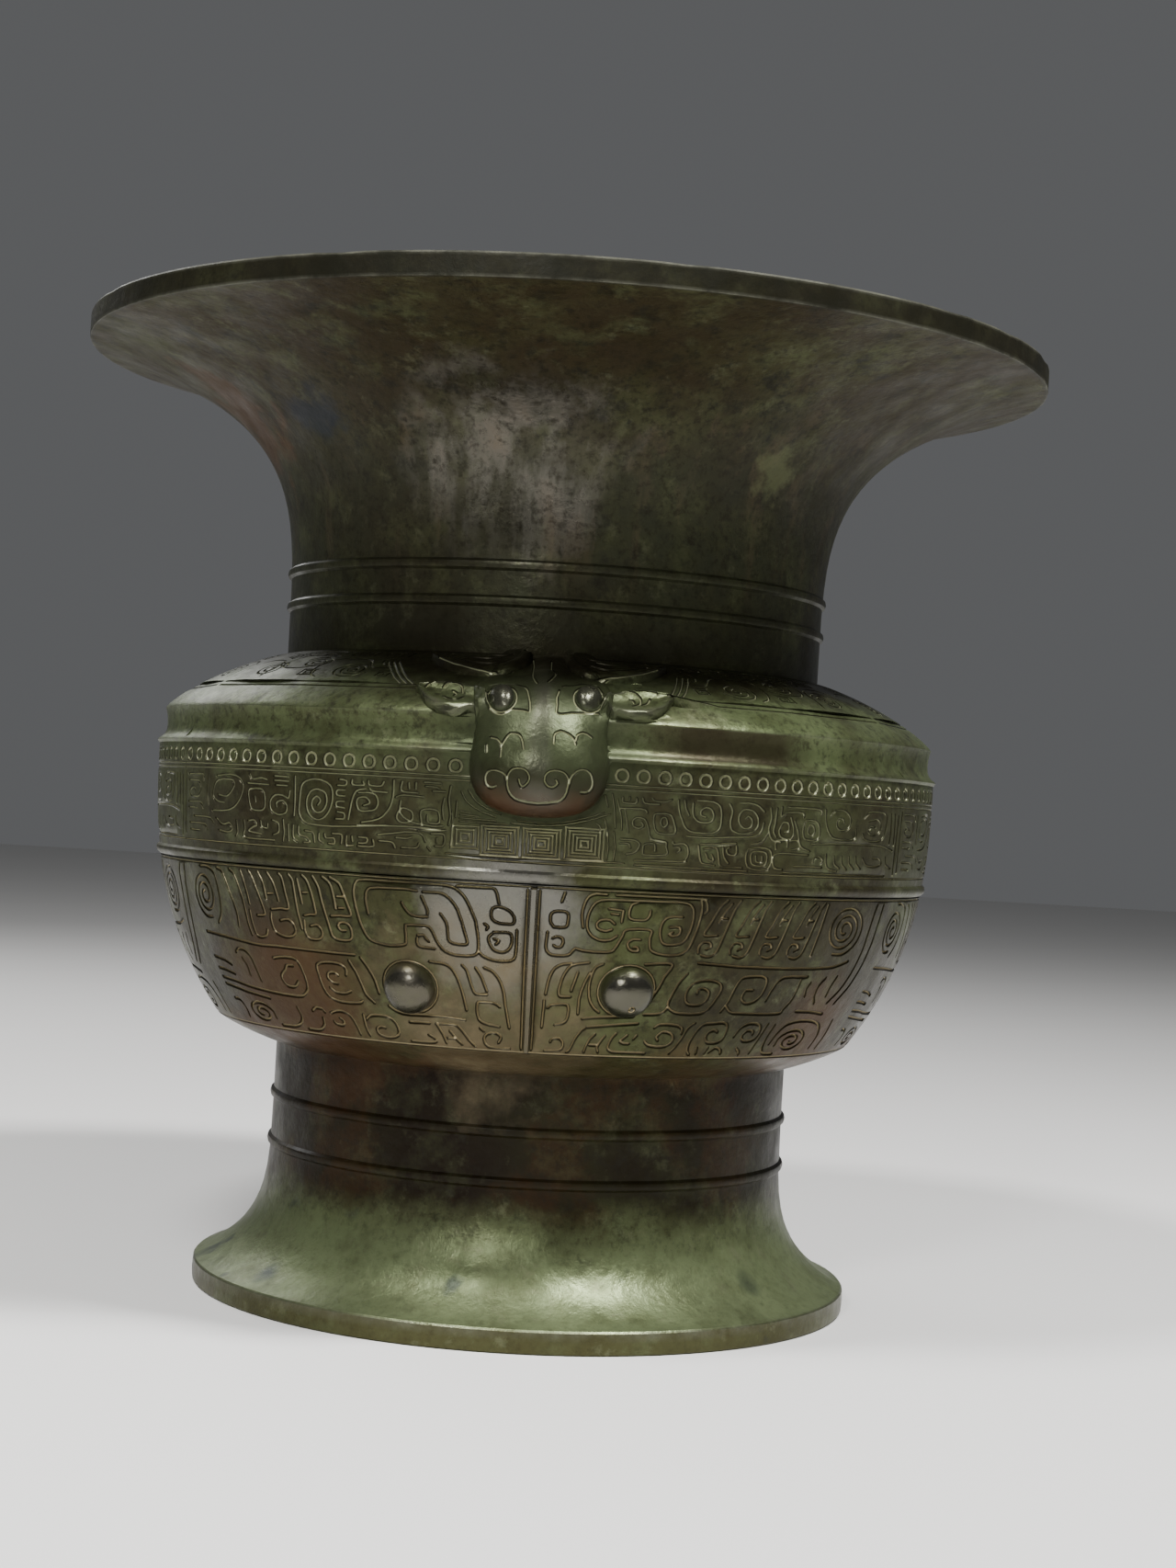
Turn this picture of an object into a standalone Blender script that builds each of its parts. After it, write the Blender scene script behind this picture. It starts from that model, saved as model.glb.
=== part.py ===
"""Bronze zun wine vessel, as a Blender model of its solid body.

A cast bronze vessel 370 mm high: a flaring foot ring, a full belly, a sloping
shoulder and a neck that opens into a wide flat mouth. It is one casting, so it
is one hollow solid. Three beast heads sit on the shoulder, a third of a turn
apart, and under each head a mask looks out of the lower belly with two boss eyes,
a nose ridge, horns, quills and scrolls. Metres, +Z up, origin at the centre of
the foot's underside. The front head faces -Y.
"""

import math

import bmesh
import bpy
from mathutils import Vector
from mathutils.geometry import delaunay_2d_cdt

MM = 0.001

# Heights of the stretches, from the table up
FOOT_HEIGHT = 94.0 * MM
UNDERSIDE_RISE = 10.0 * MM
BELLY_HEIGHT = 104.0 * MM
PLAIN_BAND_HEIGHT = 12.5 * MM
SHOULDER_RISE = 23.8 * MM
NECK_HEIGHT = 117.3 * MM
LIP_HEIGHT = 8.4 * MM

# Outer radii
FOOT_RADIUS = 128.4 * MM
FOOT_WALL_RADIUS = 100.8 * MM
KEEL_RADIUS = 124.6 * MM
BELLY_RADIUS = 152.8 * MM
SHOULDER_EDGE_RADIUS = 151.2 * MM
NECK_RADIUS = 105.3 * MM
MOUTH_RADIUS = 188.4 * MM

# Walls
WALL = 3.0 * MM
FLOOR_THICKNESS = 4.0 * MM
FOOT_RIM_THICKNESS = 4.2 * MM
LIP_THICKNESS = 4.6 * MM

# Foot ring
FOOT_RIM_HEIGHT = 8.5 * MM
FOOT_FLARE_HEIGHT = 61.5 * MM
FOOT_RIDGE_LOW = 55.0 * MM
FOOT_RIDGE_SPACING = 18.2 * MM

# Raised lines round the body
RIDGE_WIDTH = 3.0 * MM
RIDGE_HEIGHT = 1.3 * MM
BELLY_RIDGE_BELOW_BAND = 41.7 * MM
BAND_EDGE_HEIGHT = 0.9 * MM
PLAIN_BAND_DEPTH = 2.4 * MM
NECK_RIDGE_LOW = 18.8 * MM
NECK_RIDGE_SPACING = 13.0 * MM

# Curves: how full each stretch is
BELLY_FULLNESS = 2.7
UNDERSIDE_FULLNESS = 1.15
SHOULDER_FULLNESS = 1.27
NECK_RISE_FULLNESS = 4.187
NECK_SPREAD_FULLNESS = 1.251
FOOT_RISE_FULLNESS = 3.876
FOOT_SPREAD_FULLNESS = 1.233

# Masks on the lower belly
MASK_COUNT = 3
MASK_MARGIN = 2.6 * MM
LINE_WIDTH = 1.3 * MM
LINE_DEPTH = 0.7 * MM
NOSE_RIDGE_WIDTH = 2.6 * MM
NOSE_RIDGE_HEIGHT = 1.4 * MM
BOSS_RADIUS = 8.2 * MM
BOSS_HEIGHT = 7.6 * MM
BOSS_DROP = 39.3 * MM
BOSS_STAGGER = 1.5 * MM

# Beast heads on the shoulder
HEAD_WIDTH = 46.0 * MM
HEAD_HEIGHT = 51.0 * MM
MUZZLE_REACH = 13.5 * MM
EYE_SPACING = 29.5 * MM
EYE_RADIUS = 4.6 * MM
HORN_SPAN = 37.0 * MM
HORN_WIDTH = 11.0 * MM
EAR_LENGTH = 20.0 * MM
EAR_WIDTH = 9.5 * MM

# Facets
SEGMENTS = 36
FLARE_STEPS = 7
FOOT_STEPS = 4

BRONZE = (0.16, 0.17, 0.10, 1.0)

Z_KEEL = FOOT_HEIGHT + UNDERSIDE_RISE
Z_BAND_EDGE = Z_KEEL + BELLY_HEIGHT
Z_SHOULDER_EDGE = Z_BAND_EDGE + PLAIN_BAND_HEIGHT
Z_NECK = Z_SHOULDER_EDGE + SHOULDER_RISE
Z_LIP = Z_NECK + NECK_HEIGHT
HEIGHT = Z_LIP + LIP_HEIGHT
Z_BELLY_RIDGE = Z_BAND_EDGE - BELLY_RIDGE_BELOW_BAND
Z_MASK_LOW = Z_KEEL + 0.5 * MM
Z_MASK_TOP = Z_BELLY_RIDGE - MASK_MARGIN


def clear_scene():
    """Remove every object that the file starts with."""
    for old in list(bpy.data.objects):
        bpy.data.objects.remove(old)


def arc(start, end, rise, spread, count):
    """Points (r, z) of a quarter oval from start, where it is upright, to end, where it is level."""
    points = []
    for i in range(count + 1):
        turn = 0.5 * math.pi * i / count
        up = math.sin(turn) ** (2.0 / rise)
        out = 1.0 - max(math.cos(turn), 0.0) ** (2.0 / spread)
        points.append((start[0] + (end[0] - start[0]) * out, start[1] + (end[1] - start[1]) * up))
    return points


def belly_radius(z):
    """Outer radius of the belly wall between its keel and the edge of the decorated band."""
    down = (Z_BAND_EDGE - z) / BELLY_HEIGHT
    return BELLY_RADIUS - (BELLY_RADIUS - KEEL_RADIUS) * max(down, 0.0) ** BELLY_FULLNESS


def belly_wall(z_from, z_to, count, inset=0.0):
    """Points (r, z) up the belly wall, moved in by inset."""
    steps = [z_from + (z_to - z_from) * i / count for i in range(count + 1)]
    return [(belly_radius(z) - inset, z) for z in steps]


def with_ridge(points, z, height, width):
    """Add a raised line at height z to a profile that rises all the way."""
    def radius_at(level):
        for (r0, z0), (r1, z1) in zip(points, points[1:]):
            if z0 <= level <= z1 and z1 > z0:
                return r0 + (r1 - r0) * (level - z0) / (z1 - z0)
        return points[-1][0]
    low, high = z - width / 2, z + width / 2
    below = [p for p in points if p[1] < low - 0.2 * width]
    above = [p for p in points if p[1] > high + 0.2 * width]
    ridge = [(radius_at(low), low), (radius_at(z) + height, z), (radius_at(high), high)]
    return below + ridge + above


def foot_outside():
    """The outer side of the foot ring, from its underside up to the belly."""
    flare_top = FOOT_RIM_HEIGHT + FOOT_FLARE_HEIGHT
    flare = arc((FOOT_WALL_RADIUS, flare_top), (FOOT_RADIUS, FOOT_RIM_HEIGHT),
                FOOT_RISE_FULLNESS, FOOT_SPREAD_FULLNESS, FOOT_STEPS)
    wall = list(reversed(flare)) + [(FOOT_WALL_RADIUS, FOOT_HEIGHT)]
    wall = with_ridge(wall, FOOT_RIDGE_LOW, RIDGE_HEIGHT, RIDGE_WIDTH)
    wall = with_ridge(wall, FOOT_RIDGE_LOW + FOOT_RIDGE_SPACING, RIDGE_HEIGHT, RIDGE_WIDTH)
    return [(FOOT_RADIUS, 0.0)] + wall


def underside():
    """The belly's underside, from the foot out to the keel."""
    curve = arc((KEEL_RADIUS, Z_KEEL), (FOOT_WALL_RADIUS, FOOT_HEIGHT),
                UNDERSIDE_FULLNESS, UNDERSIDE_FULLNESS, 2)
    return list(reversed(curve))[1:]


def above_masks():
    """The outer side from the top of the mask band up to the shoulder's edge."""
    wall = belly_wall(Z_MASK_TOP, Z_BAND_EDGE - RIDGE_WIDTH / 2, 3)
    wall = with_ridge(wall, Z_BELLY_RIDGE, RIDGE_HEIGHT, RIDGE_WIDTH)
    hollow = BELLY_RADIUS - PLAIN_BAND_DEPTH
    wall += [(BELLY_RADIUS + BAND_EDGE_HEIGHT, Z_BAND_EDGE),
             (hollow, Z_BAND_EDGE + 0.3 * PLAIN_BAND_HEIGHT),
             (SHOULDER_EDGE_RADIUS, Z_SHOULDER_EDGE)]
    return wall


def shoulder(inset=0.0, count=4):
    """The sloping shoulder, from its edge in to the neck."""
    start = (SHOULDER_EDGE_RADIUS - inset, Z_SHOULDER_EDGE)
    end = (NECK_RADIUS - inset, Z_NECK - inset)
    return arc(start, end, SHOULDER_FULLNESS, SHOULDER_FULLNESS, count)


def neck_outside():
    """The neck with its two raised lines, the flare and the lip's upright band."""
    flare = arc((NECK_RADIUS, Z_NECK), (MOUTH_RADIUS, Z_LIP),
                NECK_RISE_FULLNESS, NECK_SPREAD_FULLNESS, FLARE_STEPS)
    flare = with_ridge(flare[:-1], Z_NECK + NECK_RIDGE_LOW, RIDGE_HEIGHT, RIDGE_WIDTH)
    flare = with_ridge(flare, Z_NECK + NECK_RIDGE_LOW + NECK_RIDGE_SPACING, RIDGE_HEIGHT, RIDGE_WIDTH)
    return flare + [(MOUTH_RADIUS, Z_LIP), (MOUTH_RADIUS, HEIGHT)]


def inside():
    """The inner wall, from the top of the lip down to the middle of the floor."""
    lip = (MOUTH_RADIUS - LIP_THICKNESS, HEIGHT)
    z_floor = FOOT_HEIGHT + FLOOR_THICKNESS
    flare = arc((NECK_RADIUS - WALL, Z_NECK), lip, NECK_RISE_FULLNESS, NECK_SPREAD_FULLNESS, FLARE_STEPS)
    walls = list(reversed(flare))[:-1]
    walls += list(reversed(shoulder(WALL, 2)))
    walls += list(reversed(belly_wall(Z_KEEL + FLOOR_THICKNESS, Z_BAND_EDGE, 3, WALL)))
    walls += [(FOOT_WALL_RADIUS, z_floor), (0.0, z_floor)]
    return walls


def foot_inside():
    """The foot ring's hollow, from the middle of the floor's underside down to the table."""
    flare_top = FOOT_RIM_HEIGHT + FOOT_FLARE_HEIGHT
    flare = arc((FOOT_WALL_RADIUS - WALL, flare_top), (FOOT_RADIUS - FOOT_RIM_THICKNESS, 0.0),
                FOOT_RISE_FULLNESS, FOOT_SPREAD_FULLNESS, FOOT_STEPS)
    return [(0.0, FOOT_HEIGHT), (FOOT_WALL_RADIUS - WALL, FOOT_HEIGHT)] + flare


def spin_profile(mesh, points):
    """Turn an open run of profile points (r, z) right round the axis."""
    line = [mesh.verts.new((0.0, -r, z)) for r, z in points]
    edges = [mesh.edges.new(pair) for pair in zip(line, line[1:])]
    bmesh.ops.spin(mesh, geom=line + edges, cent=(0, 0, 0), axis=(0, 0, 1),
                   angle=2 * math.pi, steps=SEGMENTS, use_merge=True)


def scroll(x, z, wide, high, corners, start, hand=1):
    """A square scroll line, from its outer end in to its eye, with a number of corners."""
    line = []
    for i in range(corners + 1):
        turn = math.radians(start + hand * 90 * i)
        reach = math.sqrt(2) * (1.0 - 0.72 * i / corners)
        line.append((x + wide * reach * math.cos(turn), z + high * reach * math.sin(turn)))
    return line


def mask_lines(side, low, top, half):
    """Centre lines of one half of a mask, as (x, z): x runs out from the nose ridge to the mask's side.

    side is 1 for the half on the right. low and top are the band's edges, half is its width."""
    tall = top - low
    row = {"horn": low + 0.80 * tall, "eye": low + 0.41 * tall, "jaw": low + 0.13 * tall}
    horn_low, horn_top = low + 0.63 * tall, low + 0.955 * tall
    lines = [scroll(0.068 * half, low + 0.88 * tall, 0.024 * half, 0.050 * tall, 3, 45),
             scroll(0.068 * half, low + 0.71 * tall, 0.026 * half, 0.060 * tall, 3, 45)]
    # The horn: an arch whose two ends curl in
    lines.append([(0.12 * half, horn_low), (0.115 * half, horn_top - 0.05 * tall),
                  (0.145 * half, horn_top), (0.36 * half, horn_top), (0.39 * half, horn_top - 0.06 * tall),
                  (0.385 * half, horn_low + 0.03 * tall), (0.35 * half, horn_low - 0.01 * tall),
                  (0.275 * half, horn_low), (0.265 * half, row["horn"] - 0.05 * tall)])
    lines.append(scroll(0.165 * half, row["horn"], 0.030 * half, 0.075 * tall, 4, 45))
    lines.append(scroll(0.325 * half, row["horn"] - 0.02 * tall, 0.030 * half, 0.075 * tall, 4, 135, -1))
    # Quills that slant down to small hooks
    for i in range(4):
        foot = (0.43 + 0.078 * i) * half
        lines.append([(foot + 0.045 * half, horn_top), (foot, horn_low),
                      (foot + 0.036 * half, horn_low + 0.05 * tall)])
    lines.append(scroll(0.835 * half, row["horn"] - 0.01 * tall, 0.062 * half, 0.125 * tall, 7, 135))
    # The eye's frame and the nose wing beside it
    eye = boss_place(side, half)[0]
    lines.append([(eye - 0.17 * half, row["eye"] - 0.19 * tall), (eye + 0.09 * half, row["eye"] - 0.15 * tall)])
    lines.append([(eye - 0.08 * half, row["eye"] + 0.16 * tall), (eye + 0.11 * half, row["eye"] + 0.16 * tall)])
    lines.append([(0.05 * half, row["eye"] - 0.16 * tall), (0.05 * half, row["eye"] + 0.15 * tall)])
    # Scrolls behind the eye and along the jaw
    for i in range(2):
        lines.append(scroll((0.53 + 0.19 * i) * half, row["eye"], 0.055 * half, 0.095 * tall, 5, 225))
    for i in range(3):
        hand = 1 if i % 2 else -1
        lines.append(scroll((0.16 + 0.25 * i) * half, row["jaw"], 0.060 * half, 0.062 * tall, 4, 90 - 45 * hand, hand))
    return lines


def boss_place(side, half):
    """Where a boss eye sits, as (x, z): the left one is set a little further out and lower."""
    out = (0.233 if side > 0 else 0.290) * half
    return out, Z_BELLY_RIDGE - BOSS_DROP + side * BOSS_STAGGER


def distance_to_line(point, line):
    """Shortest distance from a point to a line of straight runs."""
    best = float("inf")
    px, pz = point
    for (ax, az), (bx, bz) in zip(line, line[1:]):
        dx, dz = bx - ax, bz - az
        along = ((px - ax) * dx + (pz - az) * dz) / max(dx * dx + dz * dz, 1e-18)
        along = min(max(along, 0.0), 1.0)
        best = min(best, math.hypot(px - ax - along * dx, pz - az - along * dz))
    return best


def groove_edge(line, offset):
    """The closed edge of a groove cut along a line: offset to each side and past each end."""
    sides = ([], [])
    for i, (x, z) in enumerate(line):
        x0, z0 = line[max(i - 1, 0)]
        x1, z1 = line[min(i + 1, len(line) - 1)]
        step = offset / math.hypot(x1 - x0, z1 - z0)
        sides[0].append((x - (z1 - z0) * step, z + (x1 - x0) * step))
        sides[1].append((x + (z1 - z0) * step, z - (x1 - x0) * step))
    tips = []
    for (x0, z0), (x1, z1) in ((line[-2], line[-1]), (line[1], line[0])):
        step = offset / math.hypot(x1 - x0, z1 - z0)
        tips.append((x1 + (x1 - x0) * step, z1 + (z1 - z0) * step))
    return sides[0] + [tips[0]] + sides[1][::-1] + [tips[1]]


def mask_half(mesh, side, turn):
    """One half of a mask as a curved, engraved face of the belly, between two rings of the body."""
    reference = belly_radius(0.5 * (Z_MASK_LOW + Z_MASK_TOP))
    half = math.pi / MASK_COUNT * reference
    lines = mask_lines(side, Z_MASK_LOW, Z_MASK_TOP, half)
    boss = boss_place(side, half)
    columns = SEGMENTS // (2 * MASK_COUNT)
    inset = 1.5 * MM
    rows = [Z_MASK_LOW, Z_MASK_LOW + inset]
    rows += [Z_MASK_LOW + (Z_MASK_TOP - Z_MASK_LOW) * k / 4 for k in (1, 2, 3)]
    rows += [Z_MASK_TOP - inset, Z_MASK_TOP]
    points = []
    edges = []

    def add_run(run, closed=False):
        first = len(points)
        points.extend(run)
        edges.extend((first + i, first + i + 1) for i in range(len(run) - 1))
        if closed:
            edges.append((first + len(run) - 1, first))

    nose = [(NOSE_RIDGE_WIDTH / 2, z) for z in rows[1:-1]]
    add_run(nose)
    for line in lines:
        add_run(line)
        add_run(groove_edge(line, LINE_WIDTH / 2), True)
    for lift in (0, 25, 55):
        ring = BOSS_RADIUS * math.cos(math.radians(lift))
        turns = [2 * math.pi * k / 7 for k in range(7)]
        add_run([(boss[0] + ring * math.cos(a), boss[1] + ring * math.sin(a)) for a in turns], True)
    points.append(boss)
    for k in range(columns + 1):
        x = half * k / columns
        for z in rows:
            on_edge = k in (0, columns) or z in (rows[0], rows[-1])
            near_boss = math.hypot(x - boss[0], z - boss[1]) < BOSS_RADIUS + LINE_WIDTH
            near_line = min(distance_to_line((x, z), line) for line in lines) < LINE_WIDTH
            if on_edge or not (near_boss or near_line):
                points.append((x, z))
    flat = [Vector((x / MM, z / MM)) for x, z in points]
    done, _, faces, _, _, _ = delaunay_2d_cdt(flat, edges, [], 0, 1e-4)

    made = []
    for x, z in ((v.x * MM, v.y * MM) for v in done):
        radius = belly_radius(z)
        if rows[0] + 0.1 * MM < z < rows[-1] - 0.1 * MM:
            groove = min(distance_to_line((x, z), line) for line in lines) / (LINE_WIDTH / 2)
            away = math.hypot(x - boss[0], z - boss[1]) / BOSS_RADIUS
            if away < 0.999:
                radius += BOSS_HEIGHT * math.sqrt(1.0 - away * away)
            elif groove < 1.0:
                radius -= LINE_DEPTH * (1.0 - groove)
            if x < NOSE_RIDGE_WIDTH / 2 - 0.01 * MM:
                radius += NOSE_RIDGE_HEIGHT
        angle = turn + side * x / reference
        made.append(mesh.verts.new((radius * math.sin(angle), -radius * math.cos(angle), z)))
    for face in faces:
        mesh.faces.new([made[i] for i in face])


def head_reach(share):
    """How far the head stands off the body, from 0 at the chin (share 0) to 0 at its top."""
    if share < 0.3:
        return MUZZLE_REACH * (1.0 - (1.0 - share / 0.3) ** 2.4) ** 0.5
    return MUZZLE_REACH * (1.0 - 0.85 * ((share - 0.3) / 0.7) ** 1.3)


def head_half_width(share):
    """Half the head's width: round at the chin, waisted below the eyes, full at the brow."""
    if share < 0.28:
        return 0.5 * HEAD_WIDTH * max(1.0 - (1.0 - share / 0.28) ** 2.2, 0.0) ** 0.5
    return 0.5 * HEAD_WIDTH * (0.95 + 0.06 * math.cos(2 * math.pi * (share - 0.25) / 0.62))


def head_shape(points_out):
    """Rings (x, r, z) of the head, from chin to crown, with its back sunk in the body."""
    rings = []
    z_chin = Z_SHOULDER_EDGE - 0.66 * HEAD_HEIGHT
    for share in (0.015, 0.07, 0.18, 0.32, 0.5, 0.68, 0.84, 1.0):
        z = z_chin + share * HEAD_HEIGHT
        wide = head_half_width(share)
        back = points_out(z) - 0.75 * WALL
        front = points_out(z) + head_reach(share)
        ring = []
        for k in range(7):
            turn = math.pi * k / 6
            out = math.sin(turn) ** 0.7
            ring.append((-wide * math.cos(turn), back + (front - back) * out, z))
        rings.append(ring)
    return rings


def loft(rings):
    """A closed mesh through rings with the same number of points."""
    mesh = bmesh.new()
    made = [[mesh.verts.new(p) for p in ring] for ring in rings]
    for low, high in zip(made, made[1:]):
        for k in range(len(low)):
            after = (k + 1) % len(low)
            mesh.faces.new((low[k], low[after], high[after], high[k]))
    mesh.faces.new(list(reversed(made[0])))
    mesh.faces.new(made[-1])
    bmesh.ops.recalc_face_normals(mesh, faces=mesh.faces)
    return mesh


def tube(path, radii, sides=4):
    """A closed tapered tube, flattened to half its width, along points (x, r, z)."""
    rings = []
    for i, p in enumerate(path):
        before, after = Vector(path[max(i - 1, 0)]), Vector(path[min(i + 1, len(path) - 1)])
        along = (after - before).normalized()
        lift = Vector((0.0, 0.35, 0.94))
        across = along.cross(lift).normalized()
        lift = across.cross(along).normalized()
        turns = [2 * math.pi * k / sides for k in range(sides)]
        rings.append([tuple(Vector(p) + radii[i] * (math.cos(a) * across + 0.5 * math.sin(a) * lift))
                      for a in turns])
    return loft(rings)


def body_profile():
    """The outer profile above the masks, as (r, z) rising all the way."""
    return above_masks() + shoulder()[1:]


def outer_radius(z):
    """Radius of the body's outer side at a height above the masks."""
    run = body_profile()
    for (r0, z0), (r1, z1) in zip(run, run[1:]):
        if z0 <= z <= z1:
            return r0 + (r1 - r0) * (z - z0) / max(z1 - z0, 1e-9)
    return NECK_RADIUS


def shoulder_height(radius):
    """Height of the shoulder's surface at a radius."""
    run = shoulder(0.0, 12)
    for (r0, z0), (r1, z1) in zip(run, run[1:]):
        if r1 <= radius <= r0:
            return z0 + (z1 - z0) * (r0 - radius) / max(r0 - r1, 1e-9)
    return Z_SHOULDER_EDGE if radius > SHOULDER_EDGE_RADIUS else Z_NECK


def head_parts():
    """The pieces of one beast head, in the plane x, r, z of its own middle."""
    parts = [loft(head_shape(outer_radius))]
    z_chin = Z_SHOULDER_EDGE - 0.66 * HEAD_HEIGHT
    share = 0.82
    z_eye = z_chin + share * HEAD_HEIGHT
    eye_out = outer_radius(z_eye) + 0.80 * head_reach(share)
    for side in (-1, 1):
        eye = bmesh.new()
        bmesh.ops.create_uvsphere(eye, u_segments=6, v_segments=4, radius=EYE_RADIUS)
        bmesh.ops.scale(eye, vec=(1.0, 0.8, 1.0), verts=eye.verts)
        bmesh.ops.translate(eye, vec=(side * EYE_SPACING / 2, eye_out - 1.0 * MM, z_eye), verts=eye.verts)
        parts.append(eye)
        middle = 0.5 * (NECK_RADIUS + SHOULDER_EDGE_RADIUS)
        curl = []
        for k in range(7):
            turn = math.radians(190 - 270 * k / 6)
            reach = 1.0 - 0.40 * k / 6
            x = HORN_SPAN * (0.54 + 0.42 * reach * math.cos(turn))
            radius = middle - 5.0 * MM + HORN_SPAN * 0.24 * reach * math.sin(turn)
            curl.append((side * x, radius, shoulder_height(math.hypot(x, radius)) + 1.0 * MM))
        parts.append(tube(curl, [0.5 * HORN_WIDTH * (1.0 - 0.45 * k / 6) for k in range(7)]))
        ear = bmesh.new()
        bmesh.ops.create_uvsphere(ear, u_segments=6, v_segments=4, radius=1.0)
        bmesh.ops.scale(ear, vec=(EAR_WIDTH / 2, 3.2 * MM, EAR_LENGTH / 2), verts=ear.verts)
        x = side * (HEAD_WIDTH / 2 + 0.42 * EAR_LENGTH)
        radius = SHOULDER_EDGE_RADIUS - 10.5 * MM
        for v in ear.verts:
            across, out, along = v.co
            v.co = (x + side * along, radius + 0.75 * across + 0.55 * out,
                    shoulder_height(math.hypot(x, radius)) - 0.66 * across + 0.83 * out - 0.4 * MM)
        bmesh.ops.recalc_face_normals(ear, faces=ear.faces)
        parts.append(ear)
    return parts


def new_object(name, mesh, collection):
    """Turn a bmesh into an object in a collection."""
    data = bpy.data.meshes.new(name)
    mesh.to_mesh(data)
    mesh.free()
    made = bpy.data.objects.new(name, data)
    collection.objects.link(made)
    return made


def add_heads(vessel):
    """Join three beast heads to the shoulder."""
    heads = bpy.data.collections.new("beast heads")
    bpy.context.scene.collection.children.link(heads)
    for k in range(MASK_COUNT):
        turn = 2 * math.pi * k / MASK_COUNT
        for number, part in enumerate(head_parts()):
            for v in part.verts:
                x, radius, z = v.co
                v.co = (x * math.cos(turn) + radius * math.sin(turn),
                        x * math.sin(turn) - radius * math.cos(turn), z)
            bmesh.ops.recalc_face_normals(part, faces=part.faces)
            guide = new_object(f"head_{k + 1}_{number + 1}", part, heads)
            guide.hide_render = True
            guide.display_type = "WIRE"
    join = vessel.modifiers.new("beast heads", "BOOLEAN")
    join.operation = "UNION"
    join.solver = "EXACT"
    join.operand_type = "COLLECTION"
    join.collection = heads


def bronze():
    """Old bronze under a green-brown patina."""
    material = bpy.data.materials.new("patinated bronze")
    material.use_nodes = True
    shader = material.node_tree.nodes["Principled BSDF"]
    shader.inputs["Base Color"].default_value = BRONZE
    shader.inputs["Roughness"].default_value = 0.45
    shader.inputs["Metallic"].default_value = 0.5
    return material


def build():
    """Model the vessel as one closed, hollow casting."""
    clear_scene()
    mesh = bmesh.new()
    keel = (belly_radius(Z_MASK_LOW), Z_MASK_LOW)
    spin_profile(mesh, foot_inside() + foot_outside() + underside() + [keel])
    spin_profile(mesh, above_masks() + shoulder()[1:] + neck_outside()[1:] + inside())
    for k in range(MASK_COUNT):
        for side in (-1, 1):
            mask_half(mesh, side, 2 * math.pi * k / MASK_COUNT)
    bmesh.ops.remove_doubles(mesh, verts=mesh.verts, dist=0.02 * MM)
    bmesh.ops.recalc_face_normals(mesh, faces=mesh.faces)
    vessel = new_object("zun_vessel", mesh, bpy.context.scene.collection)
    vessel.data.materials.append(bronze())
    vessel.data.shade_smooth()
    vessel.data.set_sharp_from_angle(angle=math.radians(32))
    add_heads(vessel)


build()
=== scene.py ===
"""Looks of the bronze zun: the turned body with its engraved belts, masks, beast heads and old patina."""

import math

import bmesh
import bpy
import numpy as np
from mathutils import Matrix, Vector
from mathutils.geometry import delaunay_2d_cdt


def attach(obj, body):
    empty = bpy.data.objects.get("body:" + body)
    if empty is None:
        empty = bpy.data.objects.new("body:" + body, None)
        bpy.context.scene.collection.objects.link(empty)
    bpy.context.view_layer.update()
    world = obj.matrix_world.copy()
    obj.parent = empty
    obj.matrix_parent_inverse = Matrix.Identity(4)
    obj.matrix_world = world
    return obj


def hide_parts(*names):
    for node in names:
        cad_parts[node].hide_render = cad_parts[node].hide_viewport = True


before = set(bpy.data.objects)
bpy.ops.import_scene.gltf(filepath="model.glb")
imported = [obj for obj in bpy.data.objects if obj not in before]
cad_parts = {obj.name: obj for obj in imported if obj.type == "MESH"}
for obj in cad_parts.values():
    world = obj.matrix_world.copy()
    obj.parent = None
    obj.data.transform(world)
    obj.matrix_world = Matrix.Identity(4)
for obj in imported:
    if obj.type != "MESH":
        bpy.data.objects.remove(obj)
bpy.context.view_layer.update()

MM = 0.001
SEGMENTS = 120
THIRDS = 3
COLUMNS = SEGMENTS // THIRDS

# Radii and heights of the body in millimetres, the same as in the CAD solid
FOOT_RADIUS, FOOT_WALL, KEEL, BELLY = 128.4, 100.8, 124.6, 152.8
EDGE, NECK, MOUTH = 151.2, 105.3, 188.4
Z_RIM, Z_FLARE, Z_FOOT, Z_KEEL, Z_BAND = 8.5, 70.0, 94.0, 104.0, 208.0
Z_EDGE, Z_NECK, Z_LIP, Z_TOP = 220.5, 244.3, 361.6, 370.0
WALL, FLOOR, FOOT_RIM, LIP = 3.0, 4.0, 4.2, 4.6
FOOT_LINES = (55.0, 73.2)
NECK_LINES = (263.1, 276.1)
BELLY_LINE = 166.3
LINE_HIGH, LINE_WIDE = 1.35, 4.2
# How the curved runs bend, as powers of a quarter oval, upward and outward
FOOT_BEND, FLARE_BEND = (3.876, 1.233), (4.187, 1.251)
KEEL_BEND, SHOULDER_BEND = (1.15, 1.15), (1.27, 1.27)
BELLY_BEND = 2.7
# The mask sheet and the shoulder sheet: heights where they start and end, and the radius they are drawn at
MASK_LOW, MASK_TOP, MASK_REF = 103.0, 163.7, 143.0
BAND_LOW, BAND_REF = 169.8, 152.0
# Level border lines: height, width and depth
MASK_BORDERS = ((104.3, 1.0, 0.6), (MASK_TOP - 0.65, 0.9, 0.6))
BAND_BORDERS = ((171.2, 0.9, 0.6), (197.7, 0.9, 0.6), (199.2, 0.9, 0.6))
# Degrees from the front ridge to the line that the ornament was read from
READ_SHIFT = 0.8
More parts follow.
